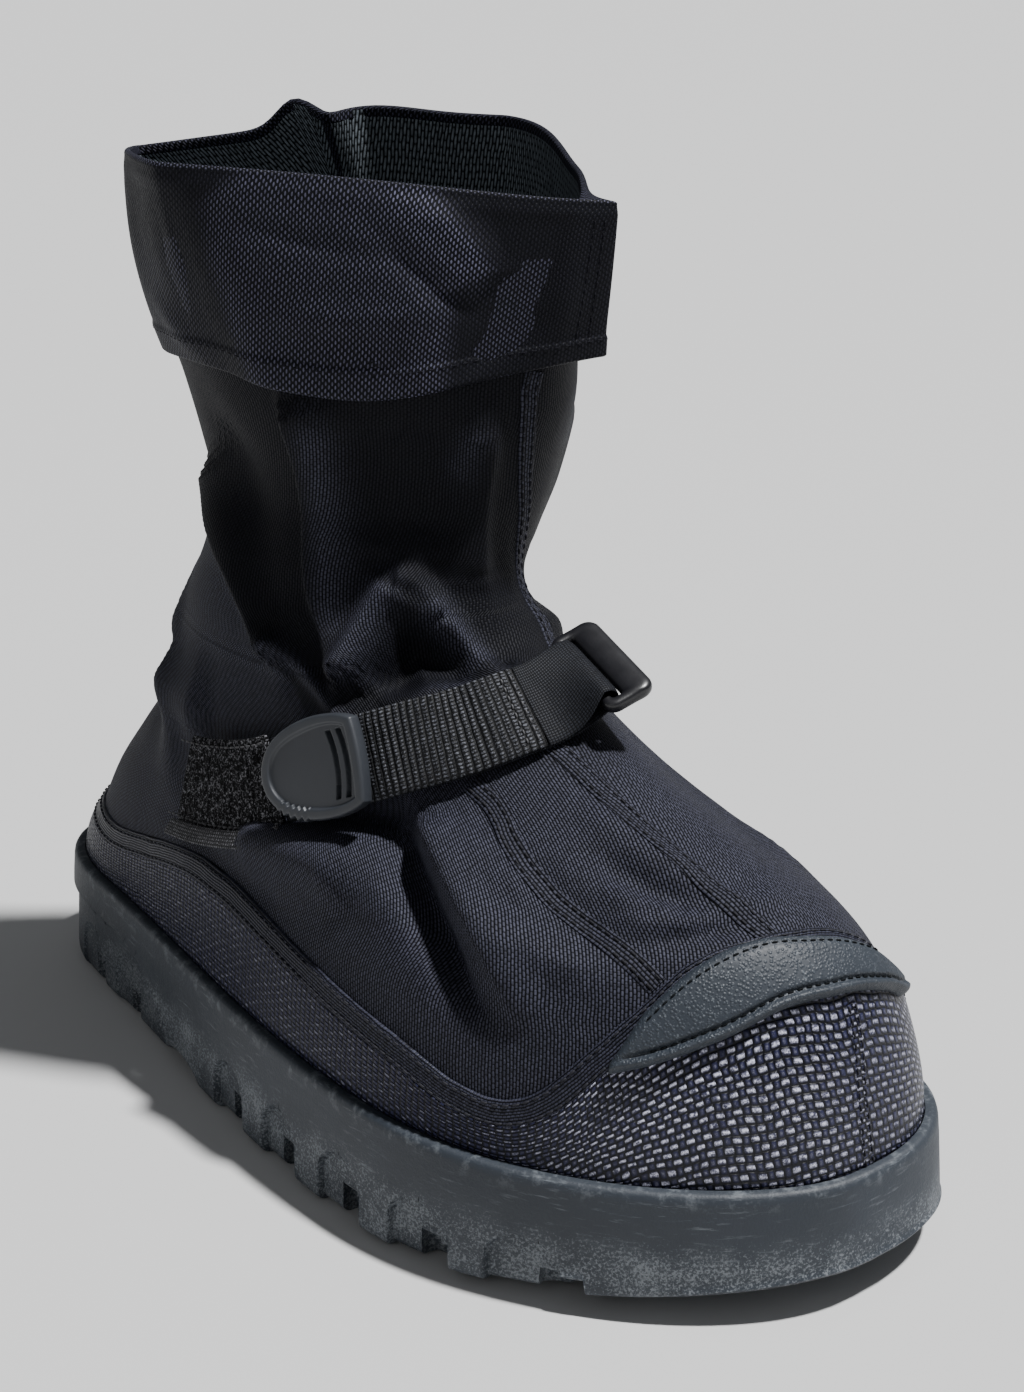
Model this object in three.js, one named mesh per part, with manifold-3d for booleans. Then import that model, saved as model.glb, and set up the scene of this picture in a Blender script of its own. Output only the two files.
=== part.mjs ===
// Slip-over winter overshoe for a right foot: rubber cup sole, nylon upper with a coated rand,
// turned-down cuff, toe bumper and instep strap. Millimetres, toe to -Y, outer side to -X, +Z up.
import * as THREE from 'three';
import Module from 'manifold-3d';

const wasm = await Module();
wasm.setup();

// Driving dimensions of the outsole
const soleLength = 325;
const ballWidth = 125;
const toeSwing = 32;
const rimHeight = 37.5;
const heelRise = 2.5;
const toeSpring = 10.5;
const flatShare = 0.66;
const rimLedge = 3;
const cupSlope = 4.2;
const cupFloor = 18;
const soleFlare = 2.2;
const soleEdgeRound = 3;

// Driving dimensions of the tread and of the recesses in the side of the sole
const lugDepth = 9;
const notchWidth = 9;
const foreLugPitch = 30.9;
const foreLugStart = -118.7;
const foreLugCount = 5;
const heelLugPitch = 29.2;
const heelLugStart = 85.3;
const heelLugCount = 2;
const chevronDrop = 12;
const windowWidth = 18.5;
const windowHeight = 20;
const windowDepth = 2.2;
const archDepth = 5;
const heelRecess = 1.4;
const heelRecessLength = 104;
const heelRecessHeight = 27;

// Driving dimensions of the upper, its overlays and the insole
const collarHeight = 273;
const upperWall = 1.6;
const randThickness = 1.5;
const innerCrown = 1.5;
const cuffThickness = 1.8;
const cuffLevel = 0.835;
const shaftLevel = 0.55;
const cuffEase = 1.1;
const cuffFlare = 2.2;
const cuffFinTop = 10;
const cuffFinBottom = 15;
const cuffFinBack = 2.5;
const cuffFinRise = 8;
const bumperThickness = 3;
const insoleThickness = 4;
const clearance = 0.3;
const randGap = 0.5;
const shaftGap = 0.5;

// Driving dimensions of the strap, its buckle and its pull tab
const strapWidth = 25;
const tapeThickness = 1.2;
const webbingThickness = 1.8;
const strapLift = 1.2;
const patchWidth = 31;
const patchThickness = 1.8;
const buckleOuterBar = 6;
const buckleNearBar = 3.4;
const buckleSlot = 6;
const buckleSide = 3.6;
const bucklePlay = 0.8;
const buckleThickness = 4;
const tabLength = 33;
const tabWidth = 29;
const tabThickness = 4.2;
const tabRecess = 1;
const tabRim = 3.6;
const patchDrop = 1.2;
const tapeStart = 0.36;
const webbingEnd = 0.44;
const tabCentre = 0.455;
const patchSlant = 0.4;
const strapTilt = 0.24;
const partingLength = 15;
const webbingSetback = 19;
const buckleStand = 10.2;

// Sampling of the curved forms
const aroundSteps = 48;
const turn = 2 * Math.PI;

// One row a section, from the sole up. level: height along the upper, 0 at the cup floor, 1 at the
// collar. xf, xb: front and back ends across, in toe swings. yf, yb: the same lengthwise, in half
// sole lengths. zf, zb: their heights above the rim, in shares of the collar's height above it.
// l0 to l3 and m0 to m3: outer and inner half widths from back to front, in half ball widths.
// rb, rfl, rfm: shares of the length that are rounded off at the back, outer front and inner front.
// nb, nf: fullness of these rounded ends. crown: rise of the outer side. swing: how late the toe turns in.
const sectionColumns = ['level', 'xf', 'yf', 'zf', 'xb', 'yb', 'zb', 'l0', 'l1', 'l2', 'l3',
  'm0', 'm1', 'm2', 'm3', 'rb', 'rfl', 'rfm', 'nb', 'nf', 'crown', 'swing'];
const widthColumns = sectionColumns.filter((name) => /^[lm]\d$/.test(name));
const upperSections = [
  [0.17, 0.95, -0.948, 0.087, 0.00, 0.942, 0.079, 0.64, 0.75, 0.90, 0.74, 0.61, 0.65, 0.89, 0.86, 0.18, 0.35, 0.18, 2.4, 2.30, 0.000, 4.0],
  [0.25, 0.94, -0.902, 0.176, 0.00, 0.898, 0.147, 0.58, 0.72, 0.85, 0.70, 0.56, 0.62, 0.80, 0.79, 0.20, 0.36, 0.20, 2.3, 2.30, 0.000, 3.5],
  [0.31, 0.88, -0.834, 0.236, 0.06, 0.849, 0.206, 0.54, 0.69, 0.79, 0.66, 0.52, 0.61, 0.74, 0.71, 0.24, 0.38, 0.24, 2.2, 2.20, 0.000, 3.0],
  [0.37, 0.75, -0.702, 0.282, 0.16, 0.800, 0.265, 0.54, 0.66, 0.73, 0.61, 0.50, 0.61, 0.66, 0.63, 0.30, 0.42, 0.32, 2.1, 2.10, 0.000, 2.6],
  [0.43, 0.63, -0.523, 0.335, 0.25, 0.763, 0.325, 0.58, 0.66, 0.67, 0.58, 0.51, 0.62, 0.63, 0.58, 0.36, 0.46, 0.40, 2.0, 2.00, 0.000, 2.2],
  [0.49, 0.56, -0.320, 0.401, 0.31, 0.738, 0.384, 0.61, 0.67, 0.66, 0.58, 0.54, 0.64, 0.64, 0.56, 0.42, 0.50, 0.46, 2.0, 2.00, 0.000, 1.8],
  [0.55, 0.56, -0.166, 0.465, 0.38, 0.708, 0.444, 0.62, 0.69, 0.67, 0.59, 0.58, 0.66, 0.67, 0.59, 0.48, 0.50, 0.50, 2.0, 2.00, 0.000, 1.5],
  [0.62, 0.63, -0.098, 0.541, 0.47, 0.665, 0.520, 0.59, 0.65, 0.66, 0.61, 0.58, 0.64, 0.66, 0.61, 0.50, 0.50, 0.50, 2.0, 2.00, 0.000, 1.2],
  [0.70, 0.81, -0.105, 0.631, 0.56, 0.658, 0.609, 0.61, 0.66, 0.67, 0.64, 0.61, 0.67, 0.69, 0.66, 0.50, 0.50, 0.50, 2.0, 2.00, 0.000, 1.0],
  [0.80, 0.94, -0.142, 0.732, 0.44, 0.708, 0.724, 0.70, 0.77, 0.77, 0.70, 0.70, 0.77, 0.78, 0.72, 0.50, 0.50, 0.50, 1.8, 1.90, 0.008, 1.0],
  [0.88, 1.03, -0.160, 0.830, 0.16, 0.757, 0.826, 0.77, 0.86, 0.86, 0.77, 0.77, 0.86, 0.86, 0.77, 0.50, 0.50, 0.50, 1.5, 1.60, 0.021, 1.0],
  [1.00, 1.19, -0.191, 0.984, -0.16, 0.825, 0.983, 0.82, 0.94, 0.94, 0.80, 0.85, 0.96, 0.93, 0.74, 0.50, 0.50, 0.50, 1.2, 1.35, 0.036, 1.0],
];
const soleSection = [0, 1, -1, 0, 0, 1, 0, 0.750, 0.848, 1.013, 0.832, 0.707, 0.736, 0.984, 0.915,
  0.17, 0.34, 0.17, 2.8, 2.36, 0, 4.0];
const rimLevel = 0.09;
const upperLevels = [0, rimLevel, 0.13, 0.17, 0.21, 0.25, 0.28, 0.31, 0.34, 0.37, 0.40, 0.43, 0.46, 0.49,
  0.52, shaftLevel, 0.585, 0.62, 0.66, 0.70, 0.75, 0.80, cuffLevel, 0.88, 0.94, 1];

// Edge lines on the upper: degrees round from the toe over the inner side, and the level there.
const randEdge = [[-90, 0.205], [-74, 0.175], [-66, 0.160], [-58, 0.137], [-51, 0.133], [-45, 0.158],
  [-39, 0.205], [-33, 0.245], [-24, 0.290], [-10, 0.308], [4, 0.303], [14, 0.275], [20, 0.235],
  [28, 0.190], [45, 0.140], [60, 0.135], [80, 0.185], [100, 0.215], [120, 0.190], [150, 0.155],
  [180, 0.150], [210, 0.152], [225, 0.157], [249, 0.212], [260, 0.217], [270, 0.205]];
const bumperEdge = [[-38, 0.203, 0.214], [-33, 0.214, 0.262], [-24, 0.236, 0.302], [-11, 0.262, 0.320],
  [2, 0.260, 0.312], [12, 0.241, 0.288], [17, 0.224, 0.258], [20, 0.219, 0.232]];

// Centre line of the strap on the upper, from its sewn outer end: degrees and level.
const strapLine = [[-117, 0.325], [-106, 0.342], [-94, 0.374], [-80, 0.416], [-67.5, 0.441],
  [-53.5, 0.462], [-38, 0.478], [-22, 0.491], [-7, 0.498]];

// Place on the upper that the buckle's near bar stands over, in degrees and level, and the frame's
// two directions there, as shares of the turnwise, upward and outward directions.
const buckleBar = [8.5, 0.50];
const buckleForwardShares = [0.787, -0.253, 0.562];
const buckleAcrossShares = [-0.404, -0.901, 0.160];

// Shapes of the sole's openings: shares of a length and of a height along each outline
const archShares = [0, 0.25, 0.5, 0.75, 1];
const windowArch = [0.08, 0.3, 0.7, 0.92];
const windowShoulder = 0.6;
const heelRecessEdge = [[0, 0], [0.02, 0.3], [0.09, 0.62], [0.21, 0.86], [0.4, 1]];

// Side of the sole from floor to rim: share of the flare kept, and share of the height
const soleBulge = [[0.6, 0.5], [0.15, 0.86]];

const { cos, sin, exp, max, min, hypot, PI } = Math;
const radians = (degrees) => (degrees * PI) / 180;
const along = (s, front, back) => back + (front - back) * s;
const bell = (x) => exp(-(x ** 2));

// Height of the rim above the floor at a share s of the length, from the heel.
const rimAt = (s) => rimHeight + heelRise * (1 - s);

// Smooth curve through the rows of a table whose first column rises.
function throughRows(rows, at) {
  const last = rows.length - 2;
  let k = rows.findIndex((row) => row[0] > at) - 1;
  k = k < 0 ? (at < rows[0][0] ? 0 : last) : min(k, last);
  const span = (i) => rows[i + 1][0] - rows[i][0];
  const rate = (i, c) => (rows[i + 1][c] - rows[i][c]) / span(i);
  const slope = (i, c) => {
    const [before, after] = [max(i - 1, 0), min(i, last)];
    return (rate(before, c) * span(after) + rate(after, c) * span(before)) / (span(before) + span(after));
  };
  const t = (at - rows[k][0]) / span(k);
  return rows[k].map((from, c) => {
    const to = rows[k + 1][c];
    const lean = span(k) * ((t - 2 * t ** 2 + t ** 3) * slope(k, c) + (t ** 3 - t ** 2) * slope(k + 1, c));
    return from + (to - from) * (3 * t ** 2 - 2 * t ** 3) + lean;
  });
}

// A section in millimetres, from its row of shares.
function sized(row) {
  const g = Object.fromEntries(sectionColumns.map((name, i) => [name, row[i]]));
  const halfLength = soleLength / 2;
  const halfWidth = ballWidth / 2;
  const tall = collarHeight - rimHeight;
  const scale = (names, length) => names.forEach((name) => {
    g[name] *= length;
  });
  scale(['xf', 'xb'], toeSwing);
  scale(['yf', 'yb'], halfLength);
  scale(widthColumns, halfWidth);
  scale(['zf', 'zb', 'crown'], tall);
  g.zf += rimHeight;
  g.zb += rimHeight;
  return sectionColumns.map((name) => g[name]);
}

// The sole's outline pulled in by an inset, at the heights of the front and back ends.
function soleOutline(inset, front, back) {
  const row = sized(soleSection);
  const at = (name) => sectionColumns.indexOf(name);
  row[at('yf')] += inset;
  row[at('yb')] -= inset;
  widthColumns.forEach((name) => {
    row[at(name)] -= inset;
  });
  row[at('zf')] = front;
  row[at('zb')] = back;
  return row;
}

// The upper's skin sits inside the cup of the sole, behind the rand.
const skinInset = rimLedge + clearance + randThickness + randGap;
const floorSection = soleOutline(skinInset + cupSlope, cupFloor + clearance, cupFloor + clearance);
const rimSection = soleOutline(skinInset, rimAt(1), rimAt(0));
rimSection[0] = rimLevel;
const sections = [floorSection, rimSection, ...upperSections.map(sized)];

// How far an end is closed at a share e of its rounding.
const rounding = (e, n) => max(0, 1 - (1 - min(max(e, 0), 1)) ** n) ** (1 / n);

// Half width at a share s of the length, through four stations from back to front.
function widthAt(s, w0, w1, w2, w3) {
  const t = 3 * s;
  return (-w0 * (t - 1) * (t - 2) * (t - 3) + 3 * w1 * t * (t - 2) * (t - 3)
    - 3 * w2 * t * (t - 1) * (t - 3) + w3 * t * (t - 1) * (t - 2)) / 6;
}

// Point of a section at an angle from the toe, turning over the inner side.
function onSection(row, angle) {
  const [, xf, yf, zf, xb, yb, zb, l0, l1, l2, l3, m0, m1, m2, m3, rb, rfl, rfm, nb, nf, crown, swing] = row;
  const s = (1 + cos(angle)) / 2;
  const inner = sin(angle) >= 0;
  const half = inner ? widthAt(s, m0, m1, m2, m3) : -widthAt(s, l0, l1, l2, l3);
  const ends = rounding(s / rb, nb) * rounding((1 - s) / (inner ? rfm : rfl), nf);
  const x = xb + (xf - xb) * s ** swing + half * ends;
  const rise = crown * (inner ? innerCrown : 1) * sin(angle) ** 2;
  return new THREE.Vector3(x, along(s, yf, yb), along(s, zf, zb) + rise);
}
const onUpper = (angle, level) => onSection(throughRows(sections, level), angle);

// Outward direction of the upper's surface.
function outward(angle, level) {
  const step = 0.002;
  const low = max(level - step, 0);
  const high = min(level + step, 1);
  const turnwise = onUpper(angle + 0.02, level).sub(onUpper(angle - 0.02, level));
  const upwards = onUpper(angle, high).sub(onUpper(angle, low));
  return turnwise.cross(upwards).normalize();
}

// Point at a distance outside the upper's surface. Inside the sole's cup it keeps to the sole's outline.
function overUpper(angle, level, distance) {
  if (level > rimLevel) {
    return onUpper(angle, level).addScaledVector(outward(angle, level), distance);
  }
  const share = level / rimLevel;
  const floor = cupFloor + clearance;
  const inset = along(share, skinInset, skinInset + cupSlope) - distance;
  return onSection(soleOutline(inset, along(share, rimAt(1), floor), along(share, rimAt(0), floor)), angle);
}

const ringAngles = Array.from({ length: aroundSteps }, (_, i) => (i * turn) / aroundSteps);
const ringOver = (level, distance) => ringAngles.map((angle) => overUpper(angle, level, distance));

// Closed surface through rings of equal length. ends: 'strips' closes each end across the ring
// with strips from side to side, 'fan' with a fan, and 'loop' joins the last ring to the first.
function loft(rings, ends) {
  const n = rings[0].length;
  const positions = rings.flat().flatMap((p) => [p.x, p.y, p.z]);
  const index = [];
  const at = (r, i) => (r % rings.length) * n + (i % n);
  const bands = ends === 'loop' ? rings.length : rings.length - 1;
  for (let r = 0; r < bands; r += 1) {
    for (let i = 0; i < n; i += 1) {
      index.push(at(r, i), at(r, i + 1), at(r + 1, i + 1), at(r, i), at(r + 1, i + 1), at(r + 1, i));
    }
  }
  for (const [r, up] of ends === 'loop' ? [] : [[0, false], [rings.length - 1, true]]) {
    const face = (a, b, c) => index.push(at(r, a), at(r, up ? b : c), at(r, up ? c : b));
    if (ends === 'fan') for (let i = 1; i < n - 1; i += 1) face(0, i, i + 1);
    if (ends === 'strips') {
      for (let i = 0; i < n / 2; i += 1) {
        if (i > 0) face(i, i + 1, n - i);
        if (i < n / 2 - 1) face(n - i, i + 1, n - i - 1);
      }
    }
  }
  return solid(positions, index);
}

// A manifold solid from loose arrays, turned right side out.
function solid(positions, index) {
  const make = (triVerts) => new wasm.Manifold(new wasm.Mesh({
    numProp: 3, vertProperties: new Float32Array(positions), triVerts: new Uint32Array(triVerts),
  }));
  const body = make(index);
  const flipped = index.map((_, i) => index[i - (i % 3) + [0, 2, 1][i % 3]]);
  return body.volume() > 0 ? body : make(flipped);
}

// A three.js geometry as a manifold solid.
function solidOf(geometry) {
  const flat = geometry.index ? geometry.toNonIndexed() : geometry;
  const place = flat.getAttribute('position');
  const seen = new Map();
  const positions = [];
  const index = [];
  for (let i = 0; i < place.count; i += 1) {
    const point = [place.getX(i), place.getY(i), place.getZ(i)];
    const key = point.map((value) => value.toFixed(4)).join();
    if (!seen.has(key)) {
      seen.set(key, positions.length / 3);
      positions.push(...point);
    }
    index.push(seen.get(key));
  }
  return solid(positions, index);
}

// Mesh of a manifold solid.
function meshOf(name, body, material) {
  const { vertProperties, triVerts } = body.getMesh();
  const geometry = new THREE.BufferGeometry();
  geometry.setAttribute('position', new THREE.BufferAttribute(new Float32Array(vertProperties), 3));
  geometry.setIndex(new THREE.BufferAttribute(new Uint32Array(triVerts), 1));
  geometry.computeVertexNormals();
  const mesh = new THREE.Mesh(geometry, material);
  mesh.name = name;
  return mesh;
}

// Outsole

// Height of the underside at a share s of the length: flat, then sprung up to the toe tip.
const undersideAt = (s) => toeSpring * (max(0, s - flatShare) / (1 - flatShare)) ** 1.8;

// Ring of the sole's outline, pulled in by an inset, at a share of the side's height.
function soleRing(inset, share) {
  const row = soleOutline(inset, 0, 0);
  return ringAngles.map((angle) => {
    const s = (1 + cos(angle)) / 2;
    const point = onSection(row, angle);
    return point.setZ(along(share, rimAt(s), undersideAt(s)));
  });
}

// The same ring at one height.
function soleRingAt(inset, height) {
  return soleRing(inset, 0).map((point) => point.setZ(height));
}

// Blank of the sole: side, rounded rim, and the cup that takes the upper.
function soleBlank() {
  const edge = soleEdgeRound / rimHeight;
  return loft([
    soleRing(soleEdgeRound * 0.6 - soleFlare, 0),
    soleRing(-soleFlare, edge),
    ...soleBulge.map(([share, height]) => soleRing(-soleFlare * share, height)),
    soleRing(0, 0.95),
    soleRing(rimLedge * 0.35, 1),
    soleRing(rimLedge, 1),
    soleRingAt(rimLedge + cupSlope, cupFloor),
  ], 'strips');
}

// Band round the side of the sole, from a depth inside its face to well outside it.
function sideBand(depth) {
  const low = -2 * soleEdgeRound;
  const outer = -4 * windowDepth;
  return loft([
    soleRingAt(depth - soleFlare, low),
    soleRingAt(outer, low),
    soleRingAt(outer, rimHeight),
    ...soleBulge.map(([share, height]) => soleRing(depth - soleFlare * share, height)).reverse(),
  ], 'loop');
}

// Solid with an outline in the lengthwise plane, reaching across the whole sole.
function acrossSole(outline) {
  const shape = new THREE.Shape(outline.map(([y, z]) => new THREE.Vector2(y, z)));
  const depth = 2 * ballWidth;
  const geometry = new THREE.ExtrudeGeometry(shape, { depth, bevelEnabled: false, curveSegments: 6 });
  const basis = new THREE.Matrix4().makeBasis(
    new THREE.Vector3(0, 1, 0), new THREE.Vector3(0, 0, 1), new THREE.Vector3(1, 0, 0));
  geometry.applyMatrix4(basis).translate(-depth / 2, 0, 0);
  return solidOf(geometry);
}

// Toe-side edges of the open notches, from toe to heel.
const foreNotches = Array.from({ length: foreLugCount }, (_, i) => foreLugStart + i * foreLugPitch);
const heelNotches = Array.from({ length: heelLugCount }, (_, i) => heelLugStart + i * heelLugPitch);
const archFront = foreLugStart + foreLugCount * foreLugPitch;
const archBack = heelLugStart + notchWidth - heelLugPitch;

// Recess with an arched top in the side of the sole.
function windowOutline(start) {
  const shoulder = windowHeight * windowShoulder;
  const low = -2 * soleEdgeRound;
  const arch = windowArch.map((t) => [
    start + windowWidth * t, shoulder + (windowHeight - shoulder) * sin(PI * t) ** 0.6]);
  return [[start, low], [start, shoulder], ...arch, [start + windowWidth, shoulder], [start + windowWidth, low]];
}

// Channel across the tread, open at both sides, its middle further towards the toe.
function channel(start) {
  const reach = ballWidth;
  const slant = chevronDrop * (reach / (ballWidth / 2));
  const shape = new THREE.Shape([
    new THREE.Vector2(-reach, start + slant - chevronDrop),
    new THREE.Vector2(0, start - chevronDrop),
    new THREE.Vector2(reach, start + slant - chevronDrop),
    new THREE.Vector2(reach, start + slant - chevronDrop + notchWidth),
    new THREE.Vector2(0, start - chevronDrop + notchWidth),
    new THREE.Vector2(-reach, start + slant - chevronDrop + notchWidth),
  ]);
  const depth = 2 * lugDepth;
  return solidOf(new THREE.ExtrudeGeometry(shape, { depth, bevelEnabled: false }).translate(0, 0, lugDepth - depth));
}

function outsole() {
  const arch = archShares.map((t) => [along(t, archBack, archFront), archDepth * sin(PI * t) ** 0.7]);
  const archCut = acrossSole([[archFront, -lugDepth], [archBack, -lugDepth], ...arch.reverse()]);
  const recessFront = soleLength / 2 - heelRecessLength;
  const low = -2 * soleEdgeRound;
  const recessEdge = heelRecessEdge.map(([y, z]) => [
    recessFront + heelRecessLength * y, low + (heelRecessHeight - low) * z]);
  const heelCut = acrossSole([...recessEdge, [soleLength, heelRecessHeight], [soleLength, low]]);
  const windows = [...foreNotches, ...heelNotches].map((start) => acrossSole(windowOutline(start)));
  const recesses = sideBand(windowDepth).intersect(wasm.Manifold.union(windows));
  return soleBlank()
    .subtract(wasm.Manifold.union([...foreNotches, ...heelNotches].map(channel)))
    .subtract(archCut)
    .subtract(sideBand(heelRecess).intersect(heelCut))
    .subtract(recesses);
}

// Insole: a flat board on the cup's floor, inside the upper.
function insole() {
  const inset = skinInset + cupSlope + upperWall + 2 * clearance;
  const bottom = cupFloor + clearance;
  const top = bottom + insoleThickness;
  return loft([soleRingAt(inset, bottom), soleRingAt(inset, top)], 'strips');
}

// Hollow wall of the upper through its levels, open at both ends.
function hollowWall(levels) {
  const outside = levels.map((level) => ringOver(level, 0));
  const inside = levels.map((level) => ringOver(level, -upperWall));
  return loft([...outside, ...inside.reverse()], 'loop');
}

// Foot of the upper, from the cup's floor to the ankle, and the shaft from there to the collar.
const upper = () => hollowWall(upperLevels.filter((level) => level <= shaftLevel));
const shaft = () => hollowWall([
  shaftLevel + shaftGap / (collarHeight - rimHeight), ...upperLevels.filter((level) => level > shaftLevel)]);

// A shell that follows the upper at a distance, between two of its levels.
function shell(from, to, distance, thickness) {
  const levels = upperLevels.filter((level) => level >= from && level <= to);
  const inside = levels.map((level) => ringOver(level, distance));
  const outside = levels.map((level) => ringOver(level, distance + thickness));
  return loft([...outside, ...inside.reverse()], 'loop');
}

// Level of an edge line at an angle in degrees.
function edgeAt(rows, degrees, column = 1) {
  const first = rows[0][0];
  const turned = first + ((((degrees - first) % 360) + 360) % 360);
  return throughRows(rows, turned)[column];
}

// Rand: coated overlay from the cup up to its sewn edge.
function rand() {
  const top = (angle) => edgeAt(randEdge, (angle * 180) / PI);
  const rows = [0, 0.25, 0.5, 0.75, 1];
  const ring = (share, distance) => ringAngles.map((angle) => overUpper(angle, share * top(angle), distance));
  const drop = (points) => points.map((point) => point.setZ(point.z - cupFloor));
  const reach = 4 * randThickness;
  const inside = rows.map((share) => ring(share, -reach));
  const outside = rows.map((share) => ring(share, reach));
  const below = [drop(ring(0, reach)), drop(ring(0, -reach))];
  const region = loft([below[0], ...outside, ...inside.reverse(), below[1]], 'loop');
  return shell(0, 0.37, randGap, randThickness).intersect(region);
}

// Toe bumper: crescent of thick rubber over the rand's seam with the vamp.
function toeBumper() {
  const [first, last] = [bumperEdge[0][0], bumperEdge[bumperEdge.length - 1][0]];
  const steps = 16;
  const reach = 3 * bumperThickness;
  const sectionsAcross = Array.from({ length: steps + 1 }, (_, i) => {
    const degrees = along(i / steps, last, first);
    const [, low, high] = throughRows(bumperEdge, degrees);
    const at = (level, distance) => overUpper(radians(degrees), level, distance);
    const middle = (low + high) / 2;
    return [at(low, -reach), at(middle, -reach), at(high, -reach), at(high, reach), at(middle, reach), at(low, reach)];
  });
  const under = randGap + randThickness + clearance;
  return shell(0.17, 0.40, under, bumperThickness).intersect(loft(sectionsAcross, 'fan'));
}

// Cuff: the shaft's top turned over the collar and down outside it, pinched flat at its front fold.
const finDirection = new THREE.Vector3(0.9, -0.43, 0);
const near = (angle, centre, width) => bell((((angle - centre + 3 * PI) % turn) - PI) / width);

function overCuff(angle, level, distance, rise = 0) {
  const down = (1 - level) / (1 - cuffLevel);
  const ease = cuffEase + cuffFlare * sin((PI / 2) * min(1, 1.4 * down)) + cuffFinBack * near(angle, PI, 0.3) * down;
  const width = angle > PI ? 0.42 : 0.24;
  const fin = along(down, cuffFinBottom, cuffFinTop) * near(angle, 0, width);
  const point = overUpper(angle, level, ease + distance).addScaledVector(finDirection, fin);
  return point.setZ(point.z + rise + cuffFinRise * down * near(angle, 0, width));
}

function cuff() {
  const levels = upperLevels.filter((level) => level >= cuffLevel);
  const ring = (level, distance, rise) => ringAngles.map((angle) => overCuff(angle, level, distance, rise));
  const inside = (rise) => ringAngles.map((angle) => {
    const point = overUpper(angle, 1, -upperWall - clearance);
    return point.setZ(point.z + rise);
  });
  const outer = levels.map((level) => ring(level, cuffThickness, 0));
  const inner = levels.map((level) => ring(level, 0, 0));
  const crown = [ring(1, cuffThickness * 0.6, cuffThickness), inside(cuffThickness), inside(clearance),
    ring(1, 0, clearance)];
  return loft([...outer, ...crown, ...inner.reverse()], 'loop');
}

// Strap

// Path between the strap's two layers, from its sewn end to the near bar of the buckle.
const [barAngle, barLevel] = [radians(buckleBar[0]), buckleBar[1]];
const barOutward = outward(barAngle, barLevel);
const barTurnwise = onUpper(barAngle + 0.02, barLevel).sub(onUpper(barAngle - 0.02, barLevel)).normalize();
const barUpward = barOutward.clone().cross(barTurnwise);
const fromShares = ([turnwise, upward, out]) => new THREE.Vector3()
  .addScaledVector(barTurnwise, turnwise).addScaledVector(barUpward, upward).addScaledVector(barOutward, out);
const buckleForward = fromShares(buckleForwardShares).normalize();
const buckleUp = fromShares(buckleAcrossShares).cross(buckleForward).normalize();
const barMiddle = onUpper(barAngle, barLevel).addScaledVector(barOutward, buckleStand);
const pathHeight = strapLift + tapeThickness + clearance / 2 + (strapWidth / 2) * sin(strapTilt);
const pathPoints = strapLine.map(([degrees, level]) => overUpper(radians(degrees), level, pathHeight));

// Outward direction of the strap, leaned so that its upper edge stands off the upper.
const pathNormals = strapLine.map(([degrees, level], i) => {
  const forward = (pathPoints[i + 1] ?? barMiddle).clone().sub(pathPoints[max(i - 1, 0)]).normalize();
  const normal = outward(radians(degrees), level);
  const across = forward.clone().cross(normal).normalize();
  return normal.multiplyScalar(cos(strapTilt)).addScaledVector(across, sin(strapTilt));
});
const strapPath = new THREE.CatmullRomCurve3([...pathPoints, barMiddle]);
const strapNormals = new THREE.CatmullRomCurve3([...pathNormals, buckleUp]);

// Half of the room between the layers, which opens where they part round the bar.
const barReach = hypot(buckleNearBar, buckleThickness) / 2 + 2 * clearance;
function halfGap(u) {
  const left = (1 - u) * strapPath.getLength();
  const open = max(0, 1 - left / partingLength);
  return clearance / 2 + (barReach - clearance / 2) * open * open * (3 - 2 * open);
}

// Place on a layer at a share of the path: point, outward direction, and direction across.
function strapPlace(u, side, thickness, extra = 0) {
  const forward = strapPath.getTangentAt(u);
  const normal = strapNormals.getPoint(strapPath.getUtoTmapping(u)).normalize();
  const turnIn = max(0, 1 - ((1 - u) * strapPath.getLength()) / partingLength);
  forward.lerp(buckleForward, turnIn).normalize();
  normal.addScaledVector(forward, -normal.dot(forward)).normalize();
  const point = strapPath.getPointAt(u).addScaledVector(normal, side * (halfGap(u) + thickness / 2) + extra);
  return { point, forward, normal, across: forward.clone().cross(normal) };
}

// Flat strip through a row of places.
function strip(places, width, thickness) {
  const rings = places.map(({ point, normal, across }) => {
    const corner = (side, up) => point.clone()
      .addScaledVector(across, (side * width) / 2).addScaledVector(normal, (up * thickness) / 2);
    return [corner(-1, -1), corner(1, -1), corner(1, 1), corner(-1, 1)];
  });
  return loft(rings, 'fan');
}

const stepsBetween = (from, to, count) => Array.from({ length: count + 1 }, (_, i) => along(i / count, to, from));

// Share of the path at a length back from the bar.
const backFromBar = (length) => 1 - length / strapPath.getLength();
const webbingStart = backFromBar(webbingSetback);

// Tape: under layer over the instep, round the near bar, and back on top to the webbing.
function strapTape() {
  const radius = barReach + tapeThickness / 2;
  const round = stepsBetween(-90, 90, 8).slice(1, -1).map((degrees) => {
    const normal = buckleForward.clone().multiplyScalar(-cos(radians(degrees)))
      .addScaledVector(buckleUp, -sin(radians(degrees)));
    return { point: barMiddle.clone().addScaledVector(normal, -radius), normal, across: strapPlace(1, 0, 0).across };
  });
  const under = stepsBetween(tapeStart, 1, 26).map((u) => strapPlace(u, -1, tapeThickness));
  const over = stepsBetween(1, webbingStart + 0.004, 6).map((u) => {
    const place = strapPlace(u, 1, tapeThickness);
    return { ...place, normal: place.normal.clone().negate() };
  });
  return strip([...under, ...round, ...over], strapWidth, tapeThickness);
}

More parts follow.
